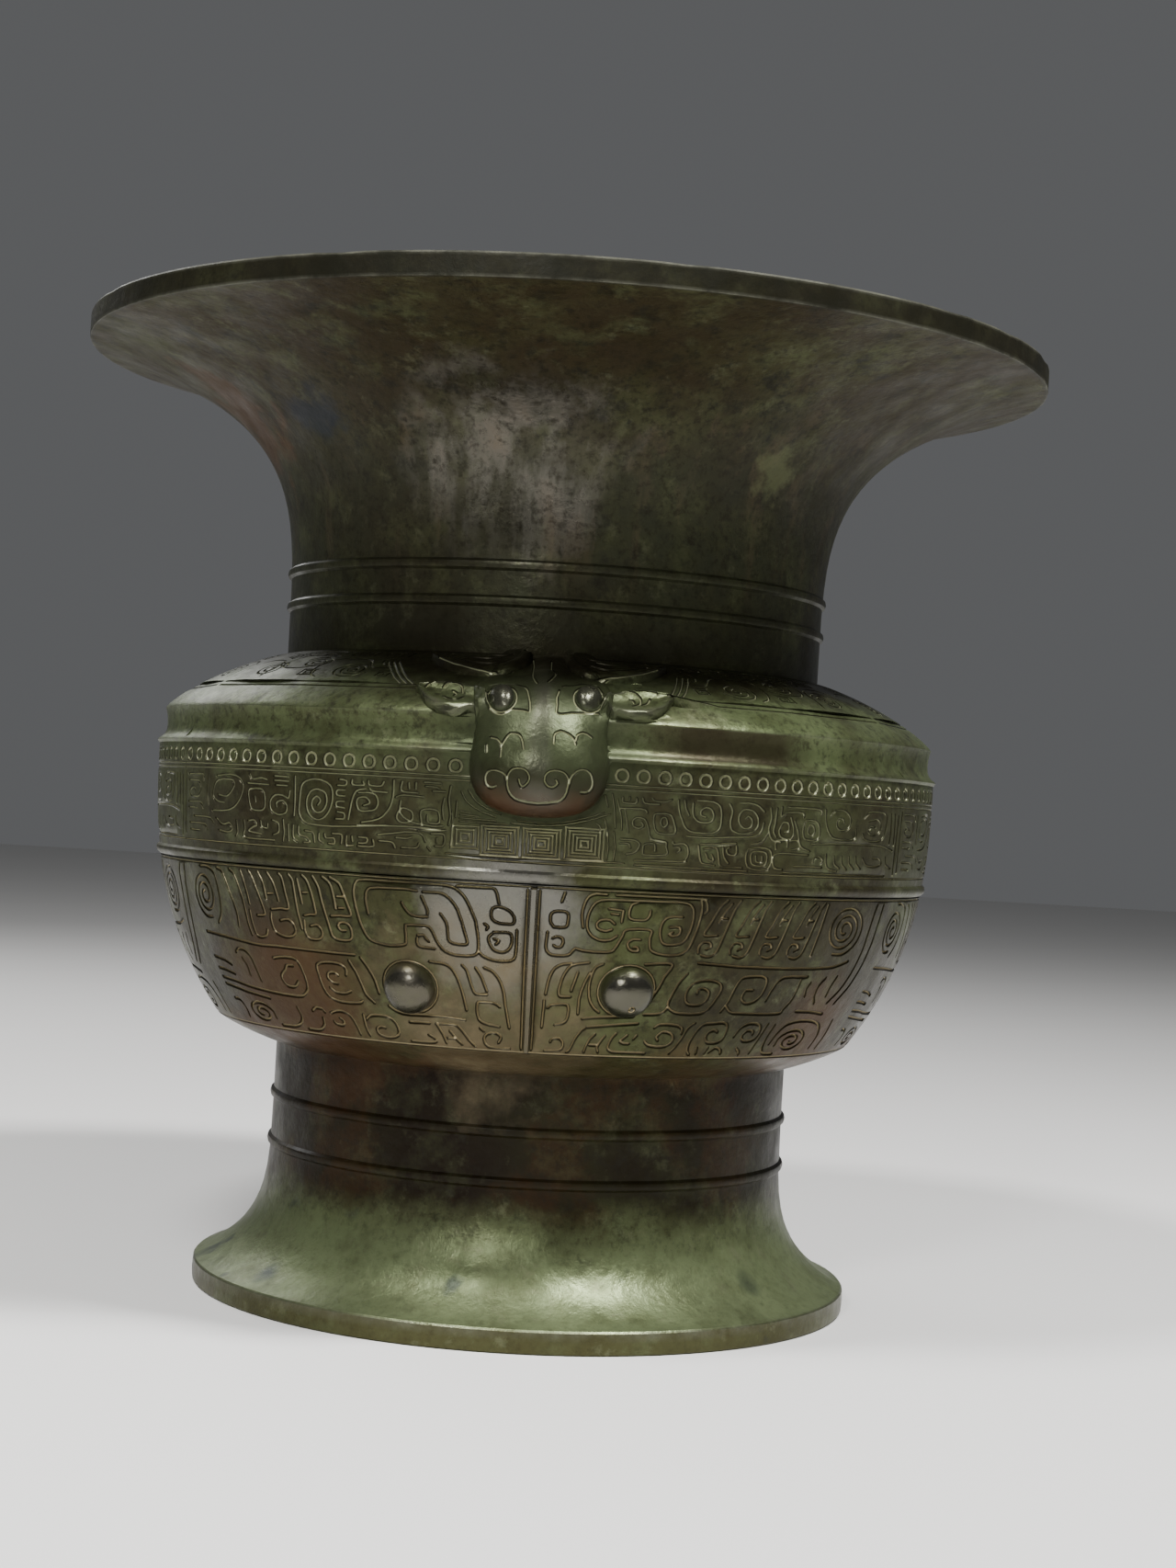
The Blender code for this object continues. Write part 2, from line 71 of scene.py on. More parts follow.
# Width and depth of the engraved lines
MASK_CUT, BOSS_CUT, PIT_CUT, NOSE_CUT = (1.4, 0.95), (1.2, 0.6), (0.9, 0.5), (1.4, 0.9)
BELT_CUT, CHIN_CUT, NEST_CUT, BAND_CUT = (1.1, 0.8), (0.8, 0.65), (0.95, 0.75), (1.1, 0.65)
HEAD_CUT, HOLE_CUT, EYE_CUT, CIRCLE_CUT = (1.15, 0.85), (0.8, 0.5), (1.1, 0.8), (1.4, 1.0)


def arc(start, end, bend, count):
    """Points (r, z) of a quarter oval from start, where it is upright, to end, where it is level."""
    rise, spread = bend
    turns = [0.5 * math.pi * i / count for i in range(count + 1)]
    share = [(1.0 - max(math.cos(t), 0.0) ** (2.0 / spread), math.sin(t) ** (2.0 / rise)) for t in turns]
    return [(start[0] + (end[0] - start[0]) * out, start[1] + (end[1] - start[1]) * up) for out, up in share]


def oval(cx, cy, wide, high, count):
    """Points round an oval with these half sizes."""
    turns = [math.tau * k / count for k in range(count)]
    return [(cx + wide * math.cos(t), cy + high * math.sin(t)) for t in turns]


def smooth(a, b, c, d, t):
    """A place on the smooth curve from b to c that passes a before them and d after."""
    bend = (c - a) * t + (2 * a - 5 * b + 4 * c - d) * t * t + (3 * b - a - 3 * c + d) * t ** 3
    return b + 0.5 * bend


def belly_radius(z):
    """Outer radius of the belly wall between its keel and the edge of the decorated band."""
    return BELLY - (BELLY - KEEL) * max((Z_BAND - z) / (Z_BAND - Z_KEEL), 0.0) ** BELLY_BEND


def with_line(points, z):
    """Add a rounded raised line at height z to a profile that rises all the way."""
    radii, heights = [p[0] for p in points], [p[1] for p in points]
    line = []
    for step, lift in ((-0.5, 0.0), (-0.42, 0.3), (-0.27, 0.8), (0.0, 1.0), (0.27, 0.8), (0.42, 0.3),
                       (0.5, 0.0)):
        level = z + step * LINE_WIDE
        line.append((float(np.interp(level, heights, radii)) + lift * LINE_HIGH, level))
    below = [p for p in points if p[1] < line[0][1] - 0.6]
    above = [p for p in points if p[1] > line[-1][1] + 0.6]
    return below + line + above


def outer_body():
    """The outer side from the foot's top to the neck's root, as (r, z), before lines are added."""
    run = list(reversed(arc((KEEL, Z_KEEL), (FOOT_WALL, Z_FOOT), KEEL_BEND, 12)))
    run += [(belly_radius(z), z) for z in np.arange(Z_KEEL + 1.5, Z_BAND - 2.0, 1.5)]
    # The ridge over the small rings, and the plain band, which is a little hollow
    run += [(152.8, 206.9), (153.3, 207.4), (153.7, 208.0), (153.4, 208.6), (152.2, 209.4), (151.1, 210.6)]
    run += [(150.4, 212.2), (150.2, 214.5), (150.4, 217.5), (150.9, 219.6), (EDGE, Z_EDGE)]
    run += arc((EDGE, Z_EDGE), (NECK, Z_NECK), SHOULDER_BEND, 24)[1:]
    return run


OUTER = np.array(outer_body())
# Distance up the outer side: it is the height itself up to the shoulder's edge
ALONG = np.where(OUTER[:, 1] <= Z_EDGE, OUTER[:, 1], 0.0)
for i in range(1, len(OUTER)):
    if OUTER[i, 1] > Z_EDGE:
        ALONG[i] = ALONG[i - 1] + math.hypot(*(OUTER[i] - OUTER[i - 1]))
BAND_TOP = float(ALONG[-1])
STEPS = np.gradient(OUTER, ALONG, axis=0)
STEPS /= np.hypot(STEPS[:, 0], STEPS[:, 1])[:, None]


def body_at(y):
    """Radius and height of the outer side at a distance up it."""
    return np.interp(y, ALONG, OUTER[:, 0]), np.interp(y, ALONG, OUTER[:, 1])


def lean_at(y):
    """The outer side's unit normal, as its parts outward and upward."""
    return np.interp(y, ALONG, STEPS[:, 1]), -np.interp(y, ALONG, STEPS[:, 0])


# Lines drawn on a sheet, which is one third of the body unrolled

LINE_STEP = 0.6
LINE_SLACK = 0.07


def thin(line, slack):
    """Leave out the points of a line that it doesn't need to keep its shape."""
    if len(line) < 3:
        return line
    chord = line[-1] - line[0]
    size = max(chord.length, 1e-9)
    far, where = 0.0, 0
    for i in range(1, len(line) - 1):
        away = line[i] - line[0]
        off = abs(chord.x * away.y - chord.y * away.x) / size if size > 1e-6 else away.length
        if off > far:
            far, where = off, i
    if far < slack:
        return [line[0], line[-1]]
    return thin(line[:where + 1], slack)[:-1] + thin(line[where:], slack)


def curve(points, closed=False, slack=LINE_SLACK):
    """A smooth line through given points."""
    knots = [Vector(p) for p in points]
    if len(knots) < 3:
        return knots
    if closed:
        knots = [knots[-1]] + knots + [knots[0], knots[1]]
    else:
        knots = [knots[0]] + knots + [knots[-1]]
    line = []
    for a, b, c, d in zip(knots, knots[1:], knots[2:], knots[3:]):
        steps = max(2, math.ceil((c - b).length / LINE_STEP))
        line += [smooth(a, b, c, d, k / steps) for k in range(steps)]
    line.append(knots[-2])
    half = len(line) // 2
    return thin(line[:half + 1], slack)[:-1] + thin(line[half:], slack)


class Stroke:
    """One engraved line of a sheet: its centre line, width and depth, and how full of dust it is."""

    def __init__(self, points, cut, closed=False, full=1.0):
        self.line = curve(points, closed)
        self.closed = closed
        if closed:
            self.line = self.line[:-1]
        self.width, self.depth = cut
        self.full = full

    def rails(self, reach):
        """The two edges of the groove and its tips."""
        line, count = self.line, len(self.line)
        sides = ([], [])
        for i, p in enumerate(line):
            if self.closed:
                before, after = line[i - 1], line[(i + 1) % count]
            else:
                before, after = line[max(i - 1, 0)], line[min(i + 1, count - 1)]
            into, out = p - before, after - p
            into = into.normalized() if into.length > 1e-9 else out.normalized()
            out = out.normalized() if out.length > 1e-9 else into
            mid = into + out
            mid = mid.normalized() if mid.length > 1e-6 else into
            across = Vector((-mid.y, mid.x)) * min(reach / max(mid.dot(into), 0.5), 1.6 * reach)
            sides[0].append(p + across)
            sides[1].append(p - across)
        if self.closed:
            return sides
        ahead = (line[-1] - line[-2]).normalized() * reach
        behind = (line[0] - line[1]).normalized() * reach
        return [[line[0] + behind] + sides[0] + [line[-1] + ahead] + sides[1][::-1]]


def distance(x, y, line, closed=False):
    """Distance of many points from one line, and how far along it the nearest place lies."""
    ends = line[1:] + line[:1] if closed else line[1:]
    best = np.full(len(x), 1e9)
    share = np.zeros(len(x))
    for number, (a, b) in enumerate(zip(line, ends)):
        dx, dy = b.x - a.x, b.y - a.y
        along = ((x - a.x) * dx + (y - a.y) * dy) / max(dx * dx + dy * dy, 1e-12)
        along = np.clip(along, 0.0, 1.0)
        off = np.hypot(x - a.x - along * dx, y - a.y - along * dy)
        nearer = off < best
        best = np.where(nearer, off, best)
        share = np.where(nearer, (number + along) / len(ends), share)
    return best, share


def near_strokes(x, y, strokes, gap=0.0):
    """Each stroke with its reach, a gap included, the points near it and how far off they are."""
    for stroke in strokes:
        reach = 0.5 * stroke.width + gap
        xs, ys = [p.x for p in stroke.line], [p.y for p in stroke.line]
        near = np.nonzero((x > min(xs) - reach) & (x < max(xs) + reach)
                          & (y > min(ys) - reach) & (y < max(ys) + reach))[0]
        yield stroke, reach, near, distance(x[near], y[near], stroke.line, stroke.closed)[0]


def groove(x, y, strokes):
    """Depth of the engraving in millimetres, and its share of each stroke's full depth."""
    depth, share = np.zeros((2, len(x)))
    for stroke, _, near, off in near_strokes(x, y, strokes):
        fall = np.clip(1.0 - 2.0 * off / stroke.width, 0.0, 1.0)
        depth[near] = np.maximum(depth[near], stroke.depth * fall)
        share[near] = np.maximum(share[near], fall * stroke.full)
    return depth, share


def ramp(value, start, length):
    """From 0 at the start to 1 a length further on; with a negative length it rises the other way."""
    return np.clip((value - start) / length, 0.0, 1.0)


def bell(value, middle, width):
    """1 in the middle, falling off smoothly on both sides."""
    return np.exp(-((value - middle) / width) ** 2)


# How far the grid's points keep from the engraved lines and the level lines
GROOVE_GAP, LEVEL_GAP = 0.45, 0.4
# Step over which a form's slope is measured
NUDGE = 0.02


def plan_sheet(ref, rows, strokes, levels, creases, loops, dots, gap):
    """The flat plan of a sheet: its points, and the edges that the triangles have to keep."""
    side = ref * math.pi / THIRDS
    columns = [side * (2 * k / COLUMNS - 1.0) for k in range(COLUMNS + 1)]
    level_lines = [y + step * width for y, width, _ in levels for step in (-0.5, 0.0, 0.5)]
    sides = sorted(set(rows) | set(creases) | set(level_lines))
    points, edges = [], []

    def add(run, closed=False):
        first = len(points)
        points.extend(run)
        edges.extend((first + i, first + i + 1) for i in range(len(run) - 1))
        if closed:
            edges.append((first + len(run) - 1, first))

    rim = [(x, rows[0]) for x in columns] + [(columns[-1], y) for y in sides[1:]]
    rim += [(x, rows[-1]) for x in columns[-2::-1]] + [(columns[0], y) for y in sides[-2:0:-1]]
    add(rim, True)
    for y in level_lines + creases:
        left, right = gap(y) if gap else (0.0, 0.0)
        if right > left:
            add([(x, y) for x in columns if x < left] + [(left, y)])
            add([(right, y)] + [(x, y) for x in columns if x > right])
        else:
            add([(x, y) for x in columns])
    for stroke in strokes:
        add([tuple(p) for p in stroke.line], stroke.closed)
        for rail in stroke.rails(0.5 * stroke.width):
            add([tuple(p) for p in rail], True)
    for run in loops:
        add(run, True)
    grid = np.array([(x, y) for x in columns[1:-1] for y in rows[1:-1]] + list(dots))
    keep = np.ones(len(grid), bool)
    for _, reach, near, off in near_strokes(grid[:, 0], grid[:, 1], strokes, GROOVE_GAP):
        keep[near] &= off > reach
    for y in level_lines:
        keep &= np.abs(grid[:, 1] - y) > LEVEL_GAP
    points.extend(tuple(p) for p in grid[keep])
    return [Vector(p) for p in points], edges


def cut_sheet(ref, rows, strokes, levels, creases, loops, dots, form, gap=None):
    """Triangulate one third of the body along its engraved lines and lift it into place."""
    points, edges = plan_sheet(ref, rows, strokes, levels, creases, loops, dots, gap)
    flat, _, faces, _, _, _ = delaunay_2d_cdt(points, edges, [], 0, 1e-5)
    x = np.array([p.x for p in flat])
    y = np.array([p.y for p in flat])
    placed, worn, bare, polish_and_highlight = form(x, y)
    deep, share = groove(x, y, strokes)
    for level, width, depth in levels:
        fall = np.clip(1.0 - 2.0 * np.abs(y - level) / width, 0.0, 1.0) * bare
        deep = np.maximum(deep, depth * fall)
        share = np.maximum(share, fall)
    across = form(x + NUDGE, y)[0] - form(x - NUDGE, y)[0]
    upward = form(x, y + NUDGE)[0] - form(x, y - NUDGE)[0]
    normal = np.cross(across, upward)
    normal /= np.maximum(np.linalg.norm(normal, axis=1), 1e-12)[:, None]
    placed = placed - normal * (deep * (1.0 - 0.3 * worn))[:, None]
    return placed, share * (1.0 - 0.5 * worn), worn, polish_and_highlight, faces


# Shapes that the ornament is drawn with, in degrees round the body and millimetres up it


def on_sheet(ref, angle, z, aside=0.0, up=0.0):
    """Sheet place of a point read in degrees and millimetres, with a step aside and up from it."""
    return ref * math.radians(angle + READ_SHIFT + aside), z + up


def read_rows(text):
    """Lines of listed numbers as points, each with whether it is marked o for closed."""
    for row in text.strip().splitlines():
        numbers = [float(t) for t in row.replace("o", " ").split()]
        yield list(zip(numbers[::2], numbers[1::2])), row.strip().startswith("o")


def runs(text, ref, cut, fit=float):
    """Strokes from lines of listed points."""
    return [Stroke([on_sheet(ref, a, fit(z)) for a, z in row], cut, closed)
            for row, closed in read_rows(text)]


def volute(ref, angle, z, wide, high, turns, start, hand, cut):
    """A round scroll from its outer end in to its eye; wide is in degrees."""
    steps = max(6, int(10 * turns))
    points = []
    for i in range(steps + 1):
        turn = math.radians(start + hand * 360.0 * turns * i / steps)
        reach = 1.0 - 0.86 * i / steps
        points.append(on_sheet(ref, angle, z, wide * reach * math.cos(turn), high * reach * math.sin(turn)))
    return Stroke(points, cut)


def square_coil(ref, angle, z, wide, high, corners, start, hand, cut):
    """A square scroll, thunder pattern, from its outer end in to its eye; wide is in degrees."""
    points = []
    for i in range(corners + 1):
        turn = math.radians(start + hand * 90 * i)
        reach = math.sqrt(2) * (1.0 - 0.82 * i / corners)
        points.append(on_sheet(ref, angle, z, wide * reach * math.cos(turn), high * reach * math.sin(turn)))
    full = []
    for a, b in zip(points, points[1:]):
        full += [a, (0.85 * a[0] + 0.15 * b[0], 0.85 * a[1] + 0.15 * b[1]),
                 (0.15 * a[0] + 0.85 * b[0], 0.15 * a[1] + 0.85 * b[1])]
    return Stroke(full[1:] + [points[-1]], cut)


def nest(ref, angle, z, wide, high, count, cut):
    """Squares inside each other; wide is in degrees."""
    strokes = []
    for i in range(count):
        share = 1.0 - i / count
        corners = []
        for cx, cz in ((-1, -1), (1, -1), (1, 1), (-1, 1)):
            for in_x, in_z in ((1.0, 0.86), (0.86, 1.0))[::cx * cz]:
                corners.append(on_sheet(ref, angle, z, cx * wide * share * in_x, cz * high * share * in_z))
        strokes.append(Stroke(corners, cut, True, full=1.5))
    return strokes


MASK_RIGHT = """
3.3 163.2 2.9 158.5
o 2 150 1.6 151.5 1.6 154 2.2 155.2 3.4 155.2 3.9 154.2 3.9 151 3.5 149.8 2.3 149.7
2 145.8 2.6 146.5 3.3 146 3.5 144.5 3.2 143 2.6 142.8 2.2 143.5
1.3 148 1.2 142.5 1.8 140.3 3 139.9 4.3 140.3 4.9 142 5.3 142.7 6.2 142.1 8 141.8 10 142.1 10.7 143.7 \
11.4 147.5 12 150 15.2 150.2 15.3 147 15.7 143.3 17.5 141.8 19.8 142 21 144 21.6 148 22 153 22.2 158 \
21.9 161.8
8.8 162.6 7.2 162 6.2 160 5.7 155 6 150
10.7 147.8 9.8 146.2 8.4 146 7.2 147.5 6.5 150.5 6.6 155 7.4 158.8 8.8 160 12 160.1 16 160.2 19.6 160.2 \
20.8 158.5 21.1 154.5 20.8 149.5 20 146.3 18.6 145.4 17.2 146 16.6 149.5 16.8 153.2 17.6 155 19.5 155.3
9.9 149.9 9 149.2 8 150 7.8 151.7 8.4 153 9.5 153.1 10.2 151.8
9.2 157 10.9 156.6
9.6 155.3 10.6 155.1
11.2 156.5 11.1 152.5
13 159.6 12.2 158.5 12 155 12.6 153.6 14.2 153.6 14.8 155 14.9 157
14 146.8 12.9 146.7 12.3 145.3 12.6 143.4 13.3 142.6 13.9 142.9 13.7 144 13.1 144
17.9 151.5 19.3 151.6 19.4 149.3 18.6 148.4 18 149 18.4 149.8
10 162.4 21.3 162.4 22.6 161 23 158 22.5 156.5
1.6 126 1.9 131 2.5 135 3.6 136.9 4.9 137.4
5.2 125.6 3.6 125.8 3.6 130 4.2 134.4 5.2 137 7.3 138
5.9 134.5 5.5 130.5 5.2 127.6
2 121.2 2.7 122.4 4.6 122.8 5.1 121.5 5.1 118 4.6 116 3.3 115.2
1.5 124 1.4 114
9.3 137.8 8.2 136 7.7 131 7.8 127 8.2 124 8.9 121.8 9.7 120.4
7.6 134.5 6.9 130 6.5 125 6.6 119.5
7.3 117.9 9 118.5 12 119 15 119.4
15.2 138.2 19.1 138.6 18.4 134 17.9 130 17.4 127.5
16.5 120.3 18.4 120.5 19.4 121.2 20 123
21.8 135.5 20.8 132 20.1 127 20 123.5 21.5 121.3 24.5 120.9 26.4 122 27.4 126 27.9 130 27.3 132.3 25.5 \
133.3 23.6 132.5 22.5 130 22.4 126.5 23.2 124.4 25 124.3 25.9 126 26 128.8 25 130.3 24.2 129.8 24.1 128.3
29 121.8 29.8 126 30.2 131 30.9 134.2 32.5 135 34.8 134.8 35.6 132.5 35.3 128 34.3 125.6 32.8 125.2 \
31.9 127 32.2 129.8 33.5 130
29.6 124 30.8 121.8 33 121.3 40 121.2 41 123 42 127 42.3 134
36.6 126 37 130 37.9 133.8 39.5 135 43.5 135
2.9 108.8 3.2 110 4.3 110.2 4.9 108.6 4.8 106.5 4 105.6 2.1 105.4
8 114.6 7.4 113.3 6.6 110 6.1 106.4 5.6 105.2
8.3 114.9 11.8 115.9 16 116.9
9.7 112.5 9 110.5 8.6 108 8.4 105.6
11.3 112 10.8 110 10.4 107.5 10.7 105.8
9.1 108.3 10.3 108.3
13 113 12.4 111 12.1 108 12.6 106.4 14 105.9 18.5 105.9
14.8 112.5 14.1 110.8 13.9 110 14.6 109.3 15.4 109.3
16.3 112.5 15.9 111
18.8 115.5 19.7 116.8 22 116.7 23.4 115.5 23.6 113.5
17.8 110.5 18.6 109 20.3 108.4 21.8 108.9 22.5 110.8 22.1 113 21.1 114 20.2 113.8 19.6 112 20 110.8
25.3 117.5 24.4 115.5 24 112 23.4 108.5 22.7 106
28.5 117.6 26.9 117 26 114 25.6 110 25.8 107 26.4 105.6
27.3 108.5 27.6 106
29.4 108.5 29.2 106
28.3 117.5 30.5 117.8 31.4 116 31.5 112 30.6 110.3 29 110.2 28.2 111.8 28.3 114 29.2 115 29.9 114.3
33.4 112.5 34 115.8 35.4 117.5 37.3 117.2 38.2 115 38 112 37 110.8 35.6 111 35 112.8 35.6 114.8 36.8 \
114.6 37 113.2
29.9 106.5 30.9 108.3 32 107.5 32.4 106
35 108.2 36 106.6 36.2 105.6
39.2 117.5 38.8 112 38.4 106
40.8 117 40.4 112 40.8 107.6 41.8 105.8 44 105.6
43.6 161.4 43.3 156 42.9 150 42.5 142.6
23 139.4 30 138.4 40 138 48 138.4 52 140.6
44.6 132.8 44.2 130.4 44.5 127.6
47.8 134.6 46.8 131.4 46.8 127.6 47.6 124.8
50.6 135 49.9 131 49.8 127.4
55.9 163 55.4 158 55.2 150 54.9 143 54.2 136 53 130 51 124.8
57.8 163 57.5 155 57.2 146 56.5 138 55.3 131 53.2 124.4
44 122 48 121.6 51.4 120.6
41.8 109.5 42.3 113.6 43.6 116.9 46.4 118.2 50 117.8 52.4 116 53.8 112 53.8 107
55.8 118 56.4 112 56.2 106.6
"""

MASK_LEFT = """
o -5.8 155.4 -6.3 154 -6.2 151.5 -5.6 150.2 -4.6 149.8 -3.4 150 -3.2 152 -3.8 154.2 -4.8 155.4
-6 146.7 -3.9 146.8 -3.4 145 -3.5 142.5 -4 140.6 -4.8 139.9 -5.8 140.5 -6.4 142.5 -6.6 144.8 -6.1 146.2
-5.6 142.5 -5.2 143.8 -5.9 144.5
-7.9 139.5 -7.2 138 -5.8 136.9 -4.2 136.8 -3.1 137.8 -2.8 141 -2.8 148
-7.2 149.5 -6.7 148.5 -6.9 147.4
-5.3 156.5 -5.6 160 -6.1 162.2 -7 162.6 -11 162.6
o -8.5 151 -9.2 155 -10 158.5 -11.2 161 -12.6 162.2 -14.5 162.6 -22 162.6 -24 162.2 -25.2 161 -25.7 157 \
-25.3 150 -24.6 144.5 -23.6 141 -21.5 139.7 -20 139.6 -18.5 140.3 -18.2 142 -18.2 146.5 -17.8 147.2 \
-15.2 147.3 -14.4 145.8 -13.8 142.5 -12.9 139.5 -11.5 138 -9.2 137.9 -8.1 139.3 -8 144 -8.3 149
-15.6 159 -13.2 159 -12 157.5 -11 154.5 -10.3 150 -9.8 145.5 -9.5 142.5 -10 141.7 -11.4 141.9 -12.1 143 \
-12.2 146 -12.4 149 -13.2 152
-23.6 150 -23.9 155 -23.6 158.2 -22.5 159.3 -18.5 159.6 -16.4 159.2
-15.8 157.5 -15 153 -15 151.4
-18.6 155 -18.2 153 -17.4 151 -16.2 150.3 -15 150.4
-16.6 142.8 -16.6 141 -16.2 140 -14.9 139.7 -14.1 139.6
-16.5 143.9 -15.6 144 -15.3 142.9 -14.9 142
-44 135.3 -40 135.5 -30 135.2 -26.4 135.2
-15 135 -13 134.6 -11.8 133 -10.9 129 -10.3 124 -9.9 118.5
-22.2 118 -21.3 116.4 -19.5 115.4 -16 115.6 -13 115.6 -10.2 115
-10.3 134.6 -9.6 132.5 -9.1 128 -8.6 125 -7.8 124.5 -6.8 124.6
-8.4 134 -7.6 131 -7 127 -6.8 125.8
-7.2 134.2 -6 133 -5 130 -4.4 126 -4.1 121 -3.8 117 -3.5 113
-4.9 120.5 -5.8 121.8 -7.4 121.8 -8.2 121.5 -8.3 117.5 -7.9 115 -6.6 113.8 -5 113.3
-25.6 134.5 -24.6 131 -23.8 127 -23.4 122
-27.6 133 -26.7 129 -26.1 124.5 -25.7 121.2 -24.5 118.4
-28.5 127.5 -28.4 130 -29.5 131.5 -32 131.5 -33.4 130.2 -33.5 127 -33.2 122 -32.4 119 -30.5 117.6 -27.5 \
117.8 -26.6 118.7
-30.2 124.2 -31.2 124.5 -31.9 126 -31.6 127.7 -30.5 128.1 -29.9 127.2
-28.2 122 -29.4 120.9 -31 121 -31.9 122.5
-42 131 -40 131.8 -37.8 131.7 -36.8 130 -36.3 125.5 -36.4 121.5 -37.3 119 -39 117.8 -44 118 -50 119 -54 \
120.2 -58.4 121
-38.1 129 -39.5 128.8 -40.1 127 -41.3 124.5 -40.7 121.5 -39 121.3 -37.9 123.5
-19.2 112.6 -15.9 112.8
-14.9 112.8 -12 112.9 -11 111.4 -9.8 107.5 -8.9 105.4
-14.8 112.6 -14 109 -13.6 106
-13.3 107.8 -12 107.8
-12.8 110.5 -11.8 107.5 -11 105.8
-16.4 108.5 -15.4 107.2 -15.5 105.9 -17.5 105.5 -19.5 105.6
-26.8 112 -25.8 113.6 -24 114 -22.5 113.5 -21.6 111.5 -21.4 108.5 -22 106.8 -23.5 106 -25 106.8 -25.3 \
108.6 -24.6 109.8 -23.6 109.6
-27.1 113.8 -27.2 109 -26.9 106
-5.2 107.3 -4.8 109.5 -5.6 110.9 -6.8 110.5 -7.4 109 -7.3 106.8 -6.6 105.6 -5 105.2 -3.4 105.5
-8 112.4 -7.4 111.3
-33.3 113 -32 114 -30.6 113.9 -29.5 112.5 -28.9 109 -28.7 106
-33.2 110 -32.8 109 -31.6 108.9 -31.2 110.4 -31.8 111.5
-37 113 -36.1 114.3 -34.9 114.2 -34.4 113
-35.2 111 -35.6 108 -37 106 -39.5 105.8
-40.2 113.6 -40 110 -41 107.4 -43 106 -46 105.8
-56.5 163 -54.4 162.2 -52.7 160 -52 156 -51.8 150 -52.3 145 -53.6 141.5
-51.8 163 -50.5 160.8 -49.7 157.5 -48.9 152.5 -48.3 149 -48 145 -48.2 141
-48.6 163 -47.5 160 -46.6 155 -46 150 -45.8 143 -45.4 138.6
-46 163 -45.4 158 -44.9 153 -44.7 149.6
-44.2 163 -43.4 159 -42.6 154 -42 150 -41.8 146.6 -43.4 146
-44.9 147.6 -44.8 143 -44.2 138.6 -42.4 138.8 -41.7 141.4
-42.3 162.6 -41.4 158 -41 152
-40.7 154.2 -39.6 154.4
-40.4 163 -39.4 158.5 -38.8 154 -38.6 151.6
-38.2 163 -37.6 160 -37.2 155 -36.9 149.6 -38.5 149.3 -40.3 148.7
-40.4 147.4 -40.6 145 -40.2 141 -38.6 139.4 -37 139.7 -36.2 141.6 -36.4 144.2 -37.4 145.6 -38.8 145
-36.4 163 -35.7 159.6 -35.5 155 -35.3 149 -34.9 142.6
-34.9 160.4 -34.5 155 -34.3 151.6
-34.2 155.6 -33.2 155.8
-34 162.8 -33.2 160 -32.6 156 -32.2 151 -32.2 148.4 -33.2 148.1 -34.2 147.5
-34.3 146 -34.4 142 -33.8 139.6 -32.1 139.6 -31.4 141.4 -31.6 143.6 -32.3 144.6 -33.3 144
-32.2 163 -31.3 158 -30.9 153 -30.4 148 -30 143.4 -29.6 140.8 -28.4 139.9 -27 140.2 -26.5 141.5 -26.5 \
144 -27 145.9 -28.1 146.2 -28.6 144.9 -28.2 143.5 -27.3 143.5
-30.6 162.8 -29.4 159.5 -28.9 155 -28.7 150.8
-28.4 155.2 -27.3 155.3
-28.3 151.2 -27.3 151.3
-29.4 162.8 -28 160 -27.4 157 -26.8 153 -26.4 148.9 -28 148.6 -29.6 148.2
-58.4 137.6 -54 137 -50 136.3 -46 135.5 -44 135.3
-50.9 131.4 -50 132.8 -48.4 132.6 -47.2 130 -46.8 125.5 -46.5 121.6
-49.6 129.6 -48.9 127 -48.9 123.4
-58.4 128.6 -55.5 127.8 -53.4 126.4
-58.4 124.4 -56 124 -53.4 123
-58.4 118.6 -54 117.4 -50 116.4 -46 115.6
-57.6 113.4 -55.8 113 -55 110 -55.4 107
"""

BOSS_RADIUS, BOSS_HEIGHT, BOSS_WIDEN, BOSS_MOAT = 8.5, 7.8, 1.13, 0.7
BOSSES = ((0.233 * 149.75, 128.5), (-0.290 * 149.75, 125.5))
RIDGE_HALF, RIDGE_FOOT, RIDGE_HIGH = 0.75, 1.25, 2.3
RIDGE_LOW, RIDGE_TOP = 104.6, 163.6
PIT = (35.7, 125.6)
QUILLS = (23.0, 28.0, 33.0, 38.0)
MASK_SCROLLS = ((48.7, 152.2, 4.5, 9.4, 3.1, 250, 1), (46.9, 110.5, 3.8, 4.8, 2.0, 200, -1),
                (-56.0, 151.6, 3.3, 8.6, 2.6, 290, -1), (-50.2, 109.6, 3.7, 4.3, 1.9, 340, 1))


